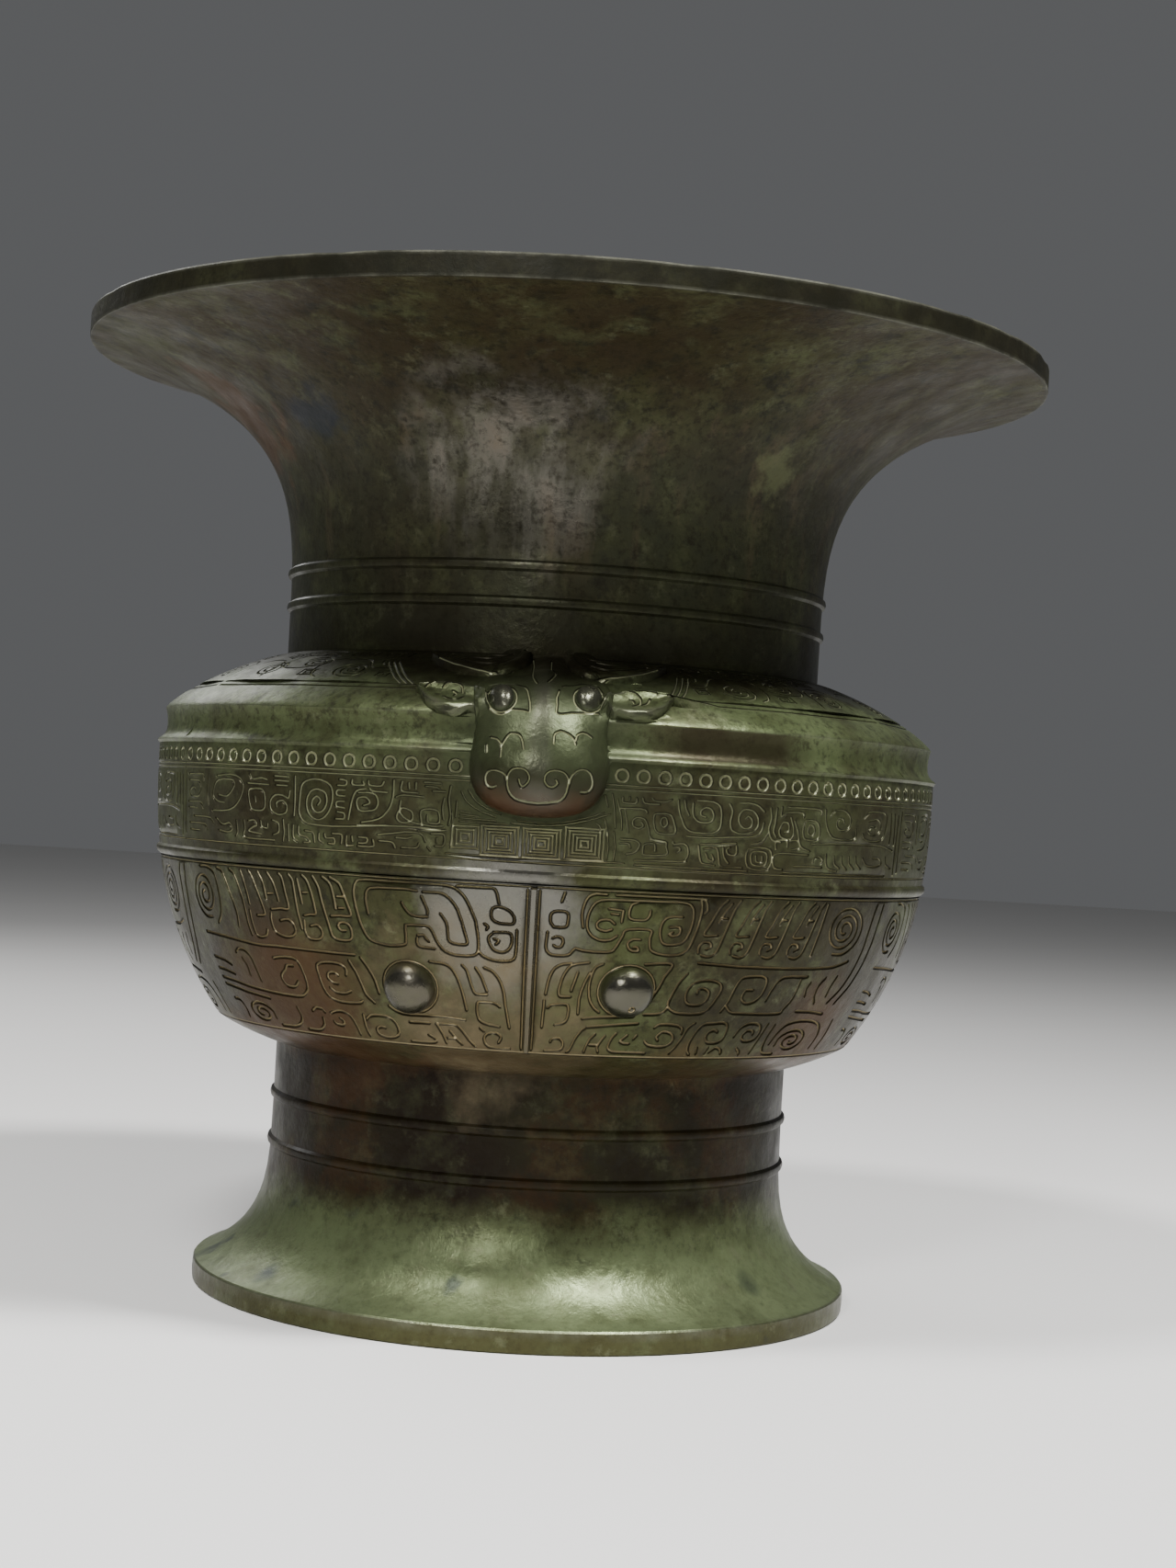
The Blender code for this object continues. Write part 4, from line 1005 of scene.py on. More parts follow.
def head_loops():
    """Outlines of the head, its eyes, ears and horns, and dots that fill it."""
    lengths = [0.0, 1.4, 2.8, 4.2, 5.6, 7.0, 8.6, 10.4, 12.4, 14.6, 17.0]
    lengths += [19.5 + 2.6 * k for k in range(30)]
    rows = [float(np.interp(v, HEAD[:, 3], HEAD[:, 0])) for v in lengths if v < HEAD[-1, 3] - 1.0]
    rows.append(float(CROWN))
    loops, dots = [], []

    def place(share, y):
        return sheet_x(HEAD_ASIDE + share * float(head_width(y)), y), y

    for share in (1.0, 0.985, 0.94, 0.86, 0.72):
        loops.append([place(share, y) for y in rows] + [place(-share, y) for y in reversed(rows)])
    for share in (-0.56, -0.4, -0.24, -0.08, 0.08, 0.24, 0.4, 0.56):
        dots += [place(share, y) for y in rows[1:-1]]
    dots += [(3.0 * i, Z_EDGE + 4.0 + 3.0 * k) for i in range(-22, 23) for k in range(15)]
    for ex, es, wide, high in EYES:
        for share, count in ((1.0, 22), (0.9, 20), (0.66, 14), (0.35, 8)):
            loops.append(on_head(oval(ex, es, share * wide, share * high, count)))
    for _, line, halves in FORMS:
        fine = curve(line, slack=0.02)
        along = distance(np.array([p.x for p in fine]), np.array([p.y for p in fine]), line)[1]
        for share in (1.0, 0.94, 0.8, 0.55, 0.25):
            sides = ([], [])
            for i, p in enumerate(fine):
                reach = share * float(half_width(along[i], line, halves))
                step = (fine[min(i + 1, len(fine) - 1)] - fine[max(i - 1, 0)]).normalized() * reach
                sides[0].append((p.x - step.y, p.y + step.x))
                sides[1].append((p.x + step.y, p.y - step.x))
            loops.append(sides[0] + sides[1][::-1])
    return loops, dots


HEAD_MARKS = """
-19.6 62.1 -16.7 63.3 -13.1 63.1 -10.6 63.1 -8.5 62.1 -6.7 60.3 -5.6 55.3 -5.1 51 -5.1 46.9 -7.4 47.8 \
-11.4 48.4
-11.4 48.4 -12.8 47.2 -14.6 46.2 -17.1 47.2 -19.2 49.6
5.6 62.4 6.9 64 9.7 65.3 12.6 67.4 15.4 67.8 17.6 66.7 19.6 62
18.8 50.4 16.8 49.6 12.6 48.8 9.7 48.2 4.7 46.7 4.4 51.7 4.1 55.3 4.7 59.6
-17.6 36.9 -15.6 36.1 -14.4 34.6 -13.9 33 -13.8 29.2
-13.5 34 -11.4 37.6 -9.6 38.1 -7.8 37.4 -6.7 35.3 -6.1 32.1
-19 34 -18.7 31
4 34.9 4.1 38.1 5.8 39.7 7.2 39.7 9.4 38.7 10.8 37.1 11.4 35.3
11.4 37.1 11.9 39.2 13.6 40.4 15.4 40.1 16.7 39.2
-7.1 21.7 -6 19.2 -4.2 20.3 -3.5 22.4 -4.6 24.6 -6.7 25.4 -9.2 25.1 -10.6 23.5 -11 20.3 -10.3 17.4 -8.5 \
14.9 -5.3 13.6 -1.7 13.1 0.8 13.1 4 13.7 6.9 14.6 8.6 16.4 9.4 18.9 9.7 22.4 8.3 24.6 5.8 25.3 3.3 24.9 \
1.9 23.5 1.7 21.4 2.9 19.8 4.7 19.6 6 21 5.4 22.1
-11.4 21.4 -11.6 22.6 -13.1 23.9 -15.6 24.6 -17.8 24.2 -18.6 22.4 -18.1 19.9 -16.4 18.7 -14.7 19.2
10 21.3 10.6 23.7 12.2 25.6 14.7 26.5 16.9 25.6 17.9 23.1 17.6 20.6 16.1 19 13.9 18.6
-3 63 -5 72 -5 85 -5.5 94
0.5 64 3 74 1.4 80 1 93
-35 58.4 -33.5 60.4 -31 60.6 -28.6 59 -28 56
-34.5 53.4 -32.5 51.6 -29.5 51.6 -27.6 53.6
-31.5 57 -30.2 55.6 -31 54
-41 58.6 -38 61 -34 62.6 -29 62.6
27 61.6 30 60.8 32.2 58.6 32 55.4 29.6 53.6
30.4 61.8 34 62.2 37.5 61.6
35.5 58.8 34.6 56.2 32.6 54.4
28.6 57.6 29.8 57 30 55.6
12 76.4 14 74.6 19 74 26 75.4 33 79 38.4 84.4
14.5 82 20 79 27 80 34.4 84.2
16.5 86 21.5 84 28 85 33.6 88
12.4 91 15 88.6 20 88.4 26 90.4
-12 76.4 -14 74.6 -19 74 -26 75.4 -33 79 -38.4 84.4
-14.5 82 -20 79 -27 80 -34.4 84.2
-16.5 86 -21.5 84 -28 85 -33.6 88
-12.4 91 -15 88.6 -20 88.4 -26 90.4
"""


def head_strokes():
    """Lines cut in the beast head: eye frames, whisker marks, nostrils with the mouth, and creases."""
    strokes = [Stroke(on_head(row), HEAD_CUT) for row, _ in read_rows(HEAD_MARKS)]
    strokes.append(Stroke(on_head(oval(*NOSTRIL_PIT, 10)), HOLE_CUT, True))
    for ex, es, wide, high in EYES:
        strokes.append(Stroke(on_head(oval(ex, es, wide + 0.8, high + 0.8, 20)), EYE_CUT, True))
    return strokes


def shoulder_strokes():
    """Everything that is engraved above the mask, from the upper belt to the neck's root."""
    strokes = head_strokes() + belt_strokes() + shoulder_band()
    for cx, cy in circle_places():
        strokes.append(Stroke(oval(cx, cy, CIRCLE_RADIUS, CIRCLE_RADIUS, 12), CIRCLE_CUT, True, full=1.35))
    return strokes


# Dents in the lip: degrees round from the front and depth
NICKS = ((72, 0.8), (81, 0.5), (57, 0.4), (45, 0.25), (12, 0.25), (-24, 0.35), (-63, 0.4), (150, 0.5),
         (-117, 0.45))


def turned(mesh, points, layers, worn_at=()):
    """Turn an open run of profile points (r, z) right round the axis."""
    line = [mesh.verts.new((0.0, -r * MM, z * MM)) for r, z in points]
    for v, (r, z) in zip(line, points):
        for radius, level, reach in worn_at:
            v[layers[1]] = max(v[layers[1]], 1.0 - math.hypot(r - radius, z - level) / reach, 0.0)
    edges = [mesh.edges.new(pair) for pair in zip(line, line[1:])]
    bmesh.ops.spin(mesh, geom=line + edges, cent=(0, 0, 0), axis=(0, 0, 1), angle=math.tau,
                   steps=SEGMENTS, use_merge=True)


def nick_lip(mesh):
    """Dent the lip's upper edge where it has been knocked."""
    for v in mesh.verts:
        if v.co.z > (Z_TOP - 0.9) * MM and math.hypot(v.co.x, v.co.y) > (MOUTH - 1.0) * MM:
            angle = math.degrees(math.atan2(v.co.x, -v.co.y))
            for place, depth in NICKS:
                if abs(angle - place) < 0.5:
                    v.co.z -= depth * MM


def add_sheet(mesh, sheet, layers):
    """Put a sheet three times round the axis."""
    placed, dust, worn, polish_and_highlight, faces = sheet
    for k in range(THIRDS):
        turn = math.tau * k / THIRDS
        cos, sin = math.cos(turn), math.sin(turn)
        made = []
        for (x, y, z), *shares in zip(placed.tolist(), dust.tolist(), worn.tolist(), polish_and_highlight.tolist()):
            v = mesh.verts.new(((x * cos - y * sin) * MM, (x * sin + y * cos) * MM, z * MM))
            for layer, share in zip(layers, shares):
                v[layer] = share
            made.append(v)
        for face in faces:
            mesh.faces.new([made[i] for i in face])


def foot_inner():
    """The foot ring's hollow, from the middle of the floor's underside down to the rim it stands on."""
    flare = arc((FOOT_WALL - WALL, Z_FLARE), (FOOT_RADIUS - FOOT_RIM, 0.0), FOOT_BEND, 10)
    return [(0.0, Z_FOOT), (60.0, Z_FOOT), (FOOT_WALL - WALL, Z_FOOT)] + flare


def foot_outer():
    """The foot ring's outer side with its two raised lines."""
    flare = arc((FOOT_WALL, Z_FLARE), (FOOT_RADIUS, Z_RIM), FOOT_BEND, 16)
    wall = list(reversed(flare)) + [(FOOT_WALL, Z_FOOT - 8.0), (FOOT_WALL, Z_FOOT)]
    for z in FOOT_LINES:
        wall = with_line(wall, z)
    rim = [(FOOT_RADIUS - 0.6, 0.0), (FOOT_RADIUS, 0.6), (FOOT_RADIUS + 0.2, 4.0), (FOOT_RADIUS, Z_RIM - 0.6)]
    return rim + wall[1:]


def keel_run():
    """The belly's underside, from the foot's top to the start of the mask sheet."""
    under = [tuple(p) for p in OUTER if Z_FOOT < p[1] < MASK_LOW - 0.4]
    return under + [tuple(float(v) for v in body_at(MASK_LOW))]


def belly_run():
    """The strip between the two sheets, with the raised line."""
    wall = [tuple(float(v) for v in body_at(z)) for z in np.linspace(MASK_TOP, BAND_LOW, 9)]
    return with_line(wall, BELLY_LINE)


def neck_run():
    """The neck with its two raised lines, the flare and the lip."""
    neck = arc((NECK, Z_NECK), (MOUTH, Z_LIP), FLARE_BEND, 34)
    for z in NECK_LINES:
        neck = with_line(neck, z)
    lip = [(MOUTH + 0.1, z) for z in (Z_LIP + 0.5, Z_LIP + 1.4, Z_TOP - 1.8, Z_TOP - 0.7)]
    return neck + lip + [(MOUTH - 0.5, Z_TOP), (MOUTH - 2.0, Z_TOP), (MOUTH - LIP + 0.5, Z_TOP)]


def inner_run():
    """The inner wall, from the top of the lip down to the middle of the floor."""
    run = list(reversed(arc((NECK - WALL, Z_NECK), (MOUTH - LIP, Z_TOP), FLARE_BEND, 22)))[1:-1]
    run += list(reversed(arc((EDGE - WALL, Z_EDGE), (NECK - WALL, Z_NECK - WALL), SHOULDER_BEND, 6)))
    run += [(belly_radius(z) - WALL, z) for z in np.linspace(Z_BAND, Z_KEEL + FLOOR, 12)]
    return run + [(FOOT_WALL, Z_FOOT + FLOOR), (60.0, Z_FOOT + FLOOR - 0.6), (0.0, Z_FOOT + FLOOR - 0.9)]


def mask_sheet():
    """One third of the lower belly, with its border lines."""
    rows = [MASK_LOW] + [106.5 + 4.0 * k for k in range(15)] + [MASK_TOP]
    return cut_sheet(MASK_REF, rows, mask_strokes(), MASK_BORDERS, [], mask_loops(), BOSSES, mask_form)


def shoulder_sheet():
    """One third of the upper belly and the shoulder, with the lines over and under the small rings."""
    creases = [float(v) for v in ALONG if 206.5 < v < Z_EDGE + 3.0]
    rows = [BAND_LOW, 174.0, 178.5, 183.0, 187.5, 192.0, 196.0]
    rows += [float(v) for v in np.linspace(Z_EDGE + 6.0, BAND_TOP, 14)]
    loops, dots = head_loops()
    return cut_sheet(BAND_REF, rows, shoulder_strokes(), BAND_BORDERS, creases, loops, dots, shoulder_form,
                     head_gap)


# Vertex layers: dust with painted groove shade, then wear and polish, both with painted highlights on the
# heads
LAYERS = ("dust", "worn", "polish_and_highlight")


def vessel_casting():
    """The whole vessel as one closed piece."""
    mesh = bmesh.new()
    for name in LAYERS:
        mesh.verts.layers.float.new(name)
    # A new layer can move the older ones, so they are looked up by name once all are there
    layers = [mesh.verts.layers.float[name] for name in LAYERS]
    turned(mesh, foot_inner() + foot_outer() + keel_run(), layers, ((FOOT_RADIUS, 8.0, 1.2),))
    turned(mesh, belly_run(), layers)
    turned(mesh, neck_run() + inner_run(), layers, ((MOUTH, Z_TOP, 1.5), (MOUTH, Z_LIP, 0.9)))
    nick_lip(mesh)
    add_sheet(mesh, mask_sheet(), layers)
    add_sheet(mesh, shoulder_sheet(), layers)
    bmesh.ops.remove_doubles(mesh, verts=mesh.verts, dist=0.004 * MM)
    bmesh.ops.recalc_face_normals(mesh, faces=mesh.faces)
    data = bpy.data.meshes.new("vessel_casting")
    mesh.to_mesh(data)
    mesh.free()
    data.shade_smooth()
    data.set_sharp_from_angle(angle=math.radians(30))
    piece = bpy.data.objects.new("vessel_casting", data)
    bpy.context.scene.collection.objects.link(piece)
    return piece


# Colours of the patina, and of painted shade, painted light and painted reflections
BROWN, OLIVE = (0.027, 0.020, 0.009), (0.050, 0.056, 0.022)
BELT_GREEN, SHOULDER_GREEN, FLARE_GREEN = (0.062, 0.069, 0.037), (0.105, 0.135, 0.060), (0.135, 0.165, 0.082)
# Painted shade and a painted red reflection for the upper foot, and the brown of the foot's rim
WALL_SHADE_BLACK, WALL_RED_REFLECTION, RIM_BROWN = (0.007, 0.004, 0.002), (0.030, 0.013, 0.005), (0.046, 0.038, 0.014)
UNDER_BROWN, BELLY_BROWN = (0.060, 0.032, 0.014), (0.025, 0.023, 0.012)
MOUTH_BROWN, MOUTH_BLACK, NECK_GREY = (0.026, 0.018, 0.009), (0.009, 0.009, 0.006), (0.020, 0.022, 0.014)
PALE_OLIVE, PALE_GREEN, TRICKLE = (0.085, 0.100, 0.046), (0.125, 0.135, 0.075), (0.085, 0.062, 0.036)
FLECK, GRIT, FLARE_GREY = (0.014, 0.013, 0.009), (0.012, 0.010, 0.006), (0.030, 0.036, 0.032)
# Grey for the heads, dark brown for the chin and a painted red reflection under it
HEAD_GREY, CHIN_BROWN, CHIN_RED_REFLECTION = (0.030, 0.036, 0.018), (0.020, 0.017, 0.009), (0.056, 0.026, 0.012)
# The middle one is painted warm light for the lower front of the belly
RED_BROWN, WARM_PAINTED_LIGHT, STAIN = (0.060, 0.030, 0.013), (0.120, 0.096, 0.054), (0.022, 0.017, 0.009)
BLUE_BLACK, DARK_GREEN, FLAKED = (0.020, 0.026, 0.028), (0.026, 0.032, 0.024), (0.120, 0.135, 0.090)
BLOTCH_GREEN, BLOTCH_BLUE = (0.10, 0.11, 0.05), (0.014, 0.017, 0.022)
# The first and the last are painted shade: on the neck's root and in the engraved lines
ROOT_SHADE, LIP_BLACK, GROOVE_SHADE = (0.012, 0.011, 0.006), (0.010, 0.010, 0.006), (0.008, 0.007, 0.004)
WIPED_METAL_AND_HIGHLIGHT, RUBBED_METAL = (0.105, 0.098, 0.084), (0.145, 0.140, 0.125)
# Worn and polished metal; on the heads' noses they are also painted highlights
WORN_METAL_AND_HIGHLIGHT, POLISHED_METAL_AND_HIGHLIGHT = (0.14, 0.14, 0.11), (0.085, 0.080, 0.066)
LOW_DUST, HIGH_DUST = (0.30, 0.25, 0.145), (0.34, 0.35, 0.22)

# Heights in millimetres where a zone of the patina or of painted shade begins, is full, starts to thin out
# and ends
ZONES = {"wall": (36, 50, 93, 102), "under": (90, 98, 104, 113), "belly": (100, 110, 165, 190),
         "belt": (164, 174, 204, 212), "shoulder": (200, 212, 232, 240), "root": (230, 240, 248, 262),
         "neck": (240, 250, 310, 345), "trickles": (268, 285, 325, 350)}
# Red-brown copper oxide low on the left, at the foot of the bosses and in patches elsewhere, each with its
# place, its reach and how blurred it is; the patch low on the left is also partly a painted reflection
RED_PATCHES = ((-88, -108, 106, 48, 30), (112, -90, 108, 30, 30), (-44, -150, 117, 10, 8),
               (33, -153, 120, 9, 8), (-125, -40, 335, 28, 90), (70, 120, 130, 50, 70),
               (-90, 110, 320, 28, 100))
# Blue-black spots and a pale flaked patch on the front of the foot's flare
FOOT_SPOTS = ((-78, -82, 34, 6.5, 8, BLUE_BLACK), (-93, -78, 18, 8, 8, BLUE_BLACK),
              (88, -75, 22, 8, 8, DARK_GREEN), (72, -84, 36, 7.5, 8, FLAKED))


class Patina:
    """Old bronze as coats of colour, each laid over the last as thickly as its masks say."""

    def __init__(self, name):
        self.material = bpy.data.materials.new(name)
        self.material.use_nodes = True
        self.tree = self.material.node_tree
        self.shader = self.tree.nodes["Principled BSDF"]
        self.place = self.node("TexCoord", {}).outputs["Object"]
        self.level = self.node("SeparateXYZ", {0: self.place}).outputs["Z"]
        flat = self.node("VectorMath", {0: self.place, 1: (1.0, 1.0, 0.0)}, operation="MULTIPLY").outputs[0]
        self.radius = self.node("VectorMath", {0: flat}, operation="LENGTH").outputs["Value"]
        # The height that the zones go by wanders up and down, so that their edges are ragged
        ragged = self.math("MULTIPLY_ADD", self.noise(26, 6, 0.65), 30 * MM, self.level)
        self.height = self.math("SUBTRACT", ragged, 15 * MM)
        self.clouds, self.grains = self.noise(11, 6, 0.62), self.noise(48, 8, 0.7)
        self.base = self.mix(self.span(self.clouds, 0.42, 0.58), BROWN, OLIVE)
        self.flare = self.span(self.height, 50 * MM, 30 * MM)
        self.wall = self.zone("wall")
        self.neck = self.zone("neck")
        self.mouth = self.span(self.height, 245 * MM, 320 * MM)
        # A wiped place on the neck, also made paler and glossier as a painted highlight
        self.wiped_and_highlight = self.spot(-18, -114, 314, 46, 50)
        self.rubbed = self.spot(-10, -150, 150, 34, 30)
        self.dust, self.worn, self.polish_and_highlight = (self.node("Attribute", {}, attribute_name=layer).outputs["Fac"]
                                             for layer in LAYERS)

    def node(self, kind, sockets, **settings):
        """A new node, with each socket given a value or the output of another node."""
        made = self.tree.nodes.new("ShaderNode" + kind)
        for name, value in settings.items():
            setattr(made, name, value)
        for socket, value in sockets.items():
            if isinstance(value, bpy.types.NodeSocket):
                self.tree.links.new(value, made.inputs[socket])
            else:
                made.inputs[socket].default_value = value
        return made

    def math(self, operation, *values, clamp=False):
        """Arithmetic on numbers and outputs."""
        return self.node("Math", dict(enumerate(values)), operation=operation, use_clamp=clamp).outputs[0]

    def noise(self, scale, detail, rough=0.6, where=None):
        """A cloudy pattern on the vessel's own coordinates."""
        sockets = {"Scale": scale, "Detail": detail, "Roughness": rough, "Vector": where or self.place}
        return self.node("TexNoise", sockets).outputs["Fac"]

    def span(self, value, low, high, to_low=0.0, to_high=1.0):
        """The value's way from low to high, as a number from to_low to to_high."""
        sockets = {"Value": value, "From Min": low, "From Max": high, "To Min": to_low, "To Max": to_high}
        return self.node("MapRange", sockets).outputs["Result"]

    def fade(self, mask, left):
        """One where the mask is nought, and what is left where it is full."""
        return self.span(mask, 0.0, 1.0, 1.0, left)

    def product(self, *masks):
        """Masks multiplied together; one that is written as a row is the values of a span."""
        made = None
        for mask in masks:
            mask = self.span(*mask) if isinstance(mask, tuple) else mask
            made = self.math("MULTIPLY", made, mask) if made else mask
        return made

    def mix(self, factor, first, second):
        """Two colours mixed by a mask."""
        sockets = {"Factor": factor}
        for number, colour in ((6, first), (7, second)):
            sockets[number] = (*colour, 1.0) if isinstance(colour, tuple) else colour
        return self.node("Mix", sockets, data_type="RGBA").outputs[2]

    def lay(self, colour, *masks):
        """Lay a coat of a colour as thickly as all its masks say."""
        self.base = self.mix(self.product(*masks), self.base, colour)

    def zone(self, name, least=0.0):
        """The mask of one zone, which thins out upward to the least share."""
        start, full, thins, end = (z * MM for z in ZONES[name])
        return self.product((self.height, start, full), (self.height, end, thins, least))

    def spot(self, x, y, z, reach, blur):
        """How near a point is to a place: 1 within half its reach, falling to 0 over a ragged edge."""
        away = self.node("VectorMath", {0: self.place, 1: (x * MM, y * MM, z * MM)}, operation="DISTANCE")
        ragged = self.math("MULTIPLY_ADD", self.noise(55, 6, 0.65), blur * MM, away.outputs["Value"])
        return self.span(ragged, (reach + 0.5 * blur) * MM, (0.55 * reach + 0.5 * blur) * MM)

    def pale_ground(self):
        """Paler green where dust and damp settled: the upper belt, the shoulder and the foot's flare."""
        self.lay(BELT_GREEN, self.zone("belt"), (self.grains, 0.38, 0.64, 0.15, 0.75))
        self.lay(SHOULDER_GREEN, self.zone("shoulder"), (self.grains, 0.35, 0.62, 0.3, 0.9))
        self.lay(FLARE_GREEN, self.flare, (self.grains, 0.3, 0.6, 0.4, 1.0))

    def dark_ground(self):
        """Painted shade with a painted red reflection on the upper foot; brown-black underside of the belly,
        neck and mouth; and a duller lower belly.
        """
        # Painted shade: the upper foot made near black where the belly above shades it
        self.lay(WALL_SHADE_BLACK, self.wall, (self.clouds, 0.35, 0.65, 1.0, 0.75))
        # Painted reflection: red patches over the painted shade of the upper foot
        self.lay(WALL_RED_REFLECTION, self.wall, (self.noise(23, 6, 0.65), 0.52, 0.60, 0.0, 0.5))
        self.lay(UNDER_BROWN, self.zone("under"), (self.clouds, 0.62, 0.42, 0.3, 0.9))
        self.lay(RIM_BROWN, (self.level, 8.6 * MM, 7.6 * MM), 0.75)
        self.lay(MOUTH_BROWN, self.mouth, (self.noise(19, 8, 0.7), 0.60, 0.42, 0.35, 0.9))
        self.lay(MOUTH_BLACK, self.mouth, (self.noise(75, 9, 0.75), 0.52, 0.64, 0.0, 0.75))
        self.lay(NECK_GREY, self.neck, (self.grains, 0.35, 0.65, 0.85, 0.45))
        belly = self.zone("belly", 0.35)
        self.lay(BELLY_BROWN, belly, (self.clouds, 0.60, 0.45, 0.15, 0.75))
        # Pale grains of the patina, fewer on the dark zones
        dark = self.span(self.product(self.fade(self.wall, 0.0), self.fade(self.mouth, 0.3)), 1.0, 0.0)
        pale = self.product(self.fade(dark, 0.25), self.fade(self.neck, 0.45), self.fade(belly, 0.7))
        self.lay(PALE_OLIVE, pale, (self.grains, 0.52, 0.68, 0.0, 0.8))
        self.lay(PALE_GREEN, pale, (self.noise(85, 9, 0.75), 0.56, 0.66, 0.0, 0.6))

    def streaks_and_flecks(self):
        """A wiped place with a painted highlight and trickles on the neck, and fine black flecks, fewer on
        the foot's flare.
        """
        drawn = self.node("Mapping", {"Vector": self.place, "Scale": (1.0, 1.0, 0.08)}).outputs["Vector"]
        streaks = self.noise(90, 5, 0.6, drawn)
        # Painted highlight: the neck's wiped place laid in pale metal
        self.lay(WIPED_METAL_AND_HIGHLIGHT, self.wiped_and_highlight, (streaks, 0.42, 0.62, 0.15, 0.8))
        self.lay(TRICKLE, self.zone("trickles"), (streaks, 0.54, 0.70, 0.0, 0.4))
        clean = self.fade(self.flare, 0.35)
        self.lay(FLECK, (self.noise(150, 5, 0.7), 0.56, 0.70, 0.0, 0.7), clean)
        self.lay(GRIT, (self.noise(330, 4, 0.7), 0.50, 0.66, 0.0, 0.6), clean)
        self.lay(FLARE_GREY, self.flare, (self.noise(38, 3, 0.5), 0.64, 0.70, 0.0, 0.75))

    def heads(self):
        """The heads are greyer than the shoulder round them, dark brown low on the chin, with a painted red
        reflection under it.
        """
        proud = self.span(self.radius, 153.2 * MM, 155 * MM)
        for k in range(THIRDS):
            turn = math.tau * k / THIRDS
            sin, cos = math.sin(turn), -math.cos(turn)
            self.lay(HEAD_GREY, self.spot(158 * sin, 158 * cos, 210, 44, 14), 0.8)
            chin = self.product(proud, self.spot(160 * sin, 160 * cos, 192, 40, 6))
            self.lay(CHIN_BROWN, chin, (self.height, 207 * MM, 198 * MM), 0.7)
            # Painted reflection: red on the underside of the chin
            self.lay(CHIN_RED_REFLECTION, chin, (self.height, 199 * MM, 189 * MM), 0.8)

    def patches(self):
        """Single patches and stains, painted shade, painted light and a painted reflection, and the black
        edge of the lip.
        """
        # The first patch, low on the left, is partly a painted red reflection
        for patch in RED_PATCHES:
            self.lay(RED_BROWN, self.spot(*patch), 0.65)
        for *spot, colour in FOOT_SPOTS:
            self.lay(colour, self.spot(*spot), 0.85)
        # Painted shade on the upper shoulder and the neck's root, under the lip's overhang
        self.lay(ROOT_SHADE, self.zone("root"), (self.clouds, 0.35, 0.65, 0.8, 0.4))
        self.lay(BLOTCH_GREEN, self.spot(83, -85, 318, 14, 50), 0.45)
        self.lay(BLOTCH_BLUE, self.spot(-88, -80, 335, 18, 40), 0.8)
        # Rubbed metal in the middle of the front mask, and under it painted warm light on the lower belly
        self.lay(RUBBED_METAL, self.rubbed, 0.8)
        # Painted light: a warm bright pool on the lower front of the belly
        self.lay(WARM_PAINTED_LIGHT, self.spot(-16, -136, 110, 50, 50), (self.grains, 0.36, 0.62, 0.9, 0.25))
        lip = self.product((self.level, 361 * MM, 361.8 * MM), (self.radius, 186.8 * MM, 187.6 * MM))
        self.lay(LIP_BLACK, lip, (self.grains, 0.4, 0.65, 0.97, 0.7))
        # A dark stain on the plain band, right of the front head
        band = self.product((self.level, 208.8 * MM, 209.6 * MM), (self.level, 220.6 * MM, 220 * MM))
        self.lay(STAIN, band, self.spot(66, -136, 214.5, 36, 12), 0.85)

    def wear_and_dust(self):
        """Bare metal on the edges, painted highlights on the heads, and painted shade and pale dust in the
        engraved lines.
        """
        # Painted highlights: wear on the nose's bridge and polish down the muzzle's middle, real wear and
        # polish elsewhere
        self.lay(WORN_METAL_AND_HIGHLIGHT, (self.worn, 0.1, 1.0), (self.grains, 0.40, 0.60, 0.1, 0.6))
        self.lay(POLISHED_METAL_AND_HIGHLIGHT, self.polish_and_highlight, (self.grains, 0.35, 0.65, 0.95, 0.6))
        # Painted shade in the bottom of the engraved lines
        self.lay(GROOVE_SHADE, (self.dust, 0.02, 0.3), 0.9)
        settled = self.math("MAXIMUM", self.span(self.noise(14, 4), 0.36, 0.52, 0.6, 1.0),
                            self.span(self.dust, 1.0, 1.3, 0.0, 0.8))
        sand = self.mix(self.span(self.height, 150 * MM, 185 * MM), LOW_DUST, HIGH_DUST)
        self.lay(sand, (self.dust, 0.45, 0.78), settled)

    def finish(self):
        """Put the coats, the shine and the fine unevenness on the shader."""
        metal = self.product((self.worn, 0.0, 1.0, 0.5, 0.85), self.fade(self.mouth, 0.3),
                             self.fade(self.wall, 0.2))
        gloss = self.math("ADD", self.polish_and_highlight, self.wiped_and_highlight)
        shiny = self.math("MULTIPLY_ADD", gloss, 0.4, metal, clamp=True)
        rough = self.product((self.noise(60, 5), 0.3, 0.7, 0.28, 0.48), self.fade(self.polish_and_highlight, 0.6),
                             self.fade(self.mouth, 1.3), self.fade(self.rubbed, 0.7),
                             self.fade(self.wiped_and_highlight, 0.6))
        normal = {}
        for scale, detail, strength, reach in ((16, 3, 0.25, 3.0), (70, 7, 0.5, 1.0), (320, 5, 0.4, 0.3)):
            height = self.noise(scale, detail, 0.65)
            bump = {"Strength": strength, "Distance": reach * MM, "Height": height, **normal}
            normal["Normal"] = self.node("Bump", bump).outputs["Normal"]
        outputs = {"Base Color": self.base, "Metallic": shiny, "Roughness": rough, **normal}
        for name, output in outputs.items():
            self.tree.links.new(output, self.shader.inputs[name])
        self.shader.inputs["Specular IOR Level"].default_value = 0.08


def patinated_bronze():
    """Olive and brown patina, pale dust in the engraving, worn metal on the edges."""
    patina = Patina("patinated bronze")
    patina.pale_ground()
    patina.dark_ground()
    patina.streaks_and_flecks()
    patina.heads()
    patina.patches()
    patina.wear_and_dust()
    patina.finish()
    return patina.material


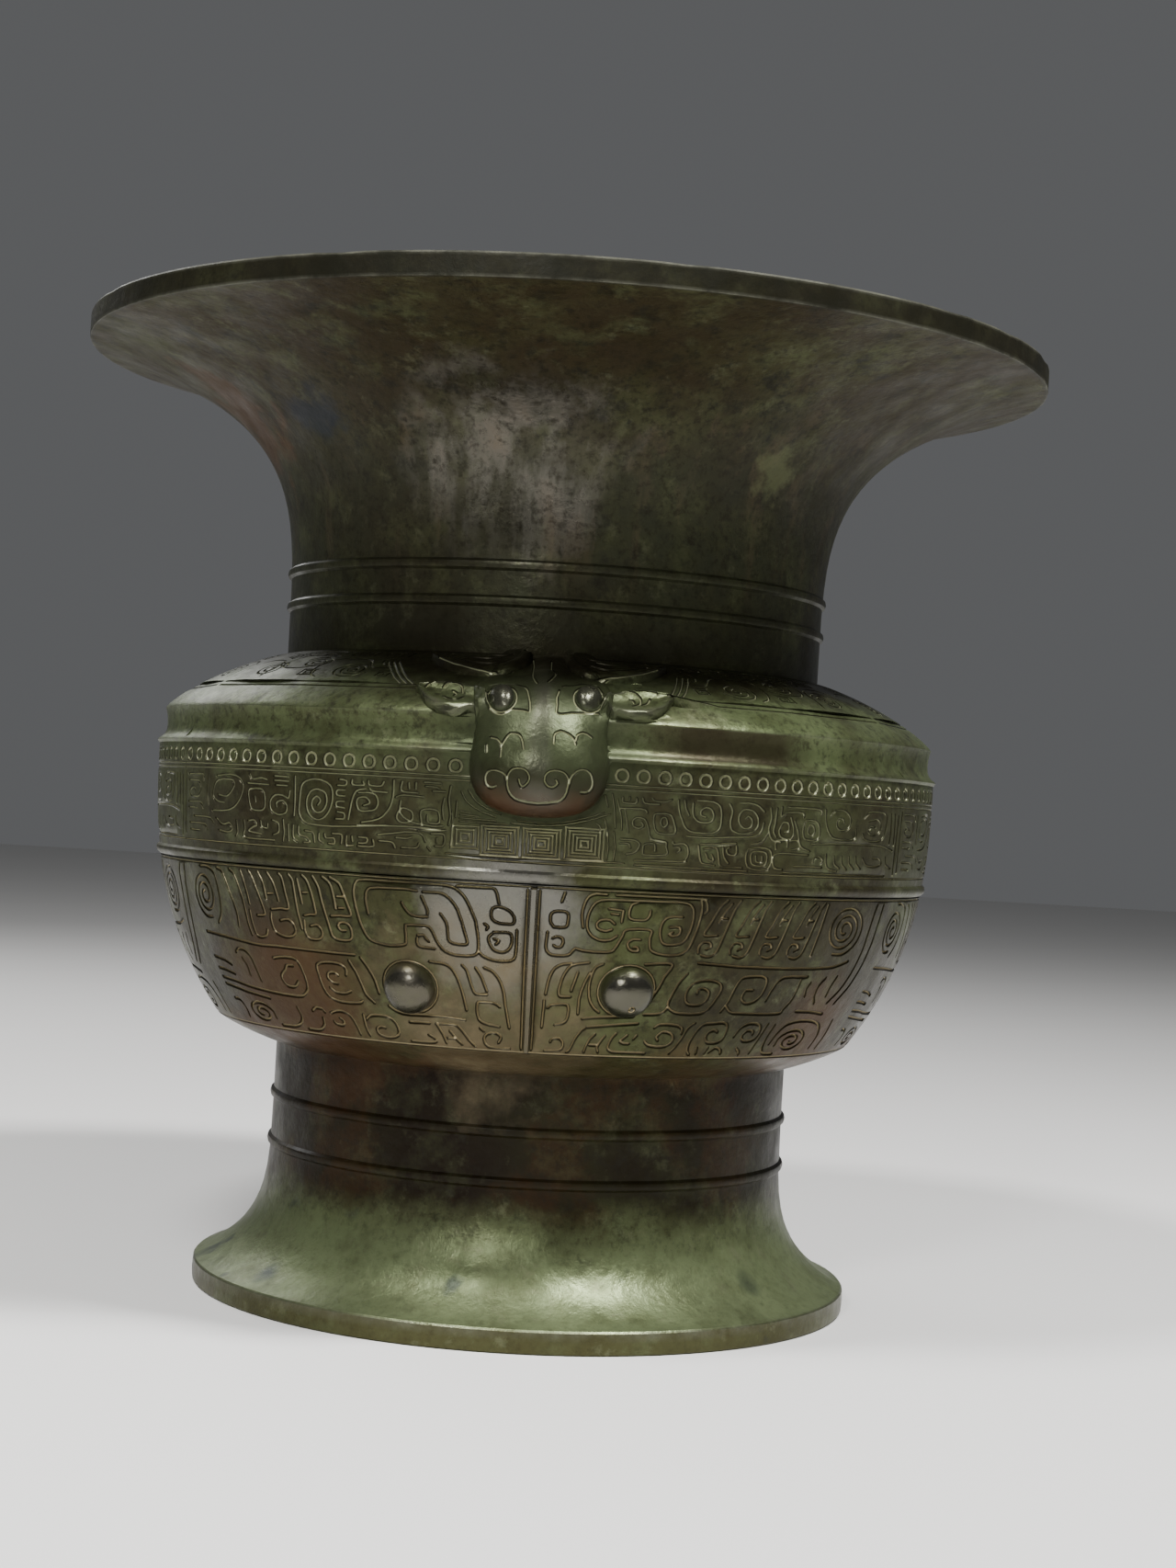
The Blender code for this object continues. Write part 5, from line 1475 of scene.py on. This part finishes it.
# Soft square lights: name, place in metres, size and watts
LIGHTS = (("overhead left", (-0.38, -0.52, 1.60), 0.22, 24.0),
          ("overhead right", (0.58, -0.46, 1.56), 0.22, 44.0),
          ("front", (-0.35, -1.35, 0.80), 0.22, 11.0),
          ("back", (-0.9, 1.2, 1.2), 0.8, 10.0))
LIT_PLACE = Vector((0.0, 0.0, 0.19))
SKY_COLOUR, SKY_STRENGTH = (0.9, 0.92, 0.95, 1.0), 0.12
FLOOR_HALF, FLOOR_COLOUR, FLOOR_ROUGH = 6.0, (0.72, 0.71, 0.69, 1.0), 0.8
# The photograph's camera: distance and height in metres, turns in degrees, focal length in its pixels
CAMERA_OUT, CAMERA_UP = 0.9971, 0.1903
CAMERA_YAW, CAMERA_PITCH, CAMERA_ROLL = 0.953, 0.589, 3.31
FOCAL_PIXELS, PHOTO_HEIGHT, SENSOR = 2717.3, 1706, 36.0


def lights():
    """Soft light from above, with a little from the front and behind."""
    for name, place, size, watts in LIGHTS:
        light = bpy.data.lights.new(name, "AREA")
        light.energy = watts
        light.size = size
        made = bpy.data.objects.new(name, light)
        made.location = place
        made.rotation_euler = (LIT_PLACE - made.location).to_track_quat("-Z", "Y").to_euler()
        bpy.context.scene.collection.objects.link(made)
    world = bpy.data.worlds.new("studio")
    bpy.context.scene.world = world
    world.use_nodes = True
    sky = world.node_tree.nodes["Background"]
    sky.inputs["Color"].default_value = SKY_COLOUR
    sky.inputs["Strength"].default_value = SKY_STRENGTH


def pale_floor():
    """The surface that the vessel stands on."""
    mesh = bmesh.new()
    bmesh.ops.create_grid(mesh, x_segments=1, y_segments=1, size=FLOOR_HALF)
    data = bpy.data.meshes.new("floor")
    mesh.to_mesh(data)
    mesh.free()
    floor = bpy.data.objects.new("floor", data)
    bpy.context.scene.collection.objects.link(floor)
    pale = bpy.data.materials.new("pale floor")
    pale.use_nodes = True
    shader = pale.node_tree.nodes["Principled BSDF"]
    shader.inputs["Base Color"].default_value = FLOOR_COLOUR
    shader.inputs["Roughness"].default_value = FLOOR_ROUGH
    data.materials.append(pale)


def photo_camera():
    """The photograph's own camera, which leans a little to one side."""
    azimuth = math.radians(READ_SHIFT)
    yaw, pitch = math.radians(CAMERA_YAW) - azimuth, math.radians(CAMERA_PITCH)
    roll = math.radians(CAMERA_ROLL)
    ahead = Vector((math.sin(yaw) * math.cos(pitch), math.cos(yaw) * math.cos(pitch), math.sin(pitch)))
    right = Vector((math.cos(yaw), -math.sin(yaw), 0.0))
    up = right.cross(ahead)
    across = math.cos(roll) * right + math.sin(roll) * up
    upright = math.cos(roll) * up - math.sin(roll) * right
    camera = bpy.data.objects.new("camera", bpy.data.cameras.new("camera"))
    turn = Matrix((across, upright, -ahead)).transposed().to_4x4()
    spot = Vector((CAMERA_OUT * math.sin(azimuth), -CAMERA_OUT * math.cos(azimuth), CAMERA_UP))
    camera.matrix_world = Matrix.Translation(spot) @ turn
    camera.data.sensor_width = SENSOR
    camera.data.lens = FOCAL_PIXELS * SENSOR / PHOTO_HEIGHT
    camera.data.clip_start = 0.01
    bpy.context.scene.collection.objects.link(camera)
    bpy.context.scene.camera = camera


pale_floor()
lights()
photo_camera()
vessel = vessel_casting()
vessel.data.materials.append(patinated_bronze())
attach(vessel, "root")
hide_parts("zun_vessel")
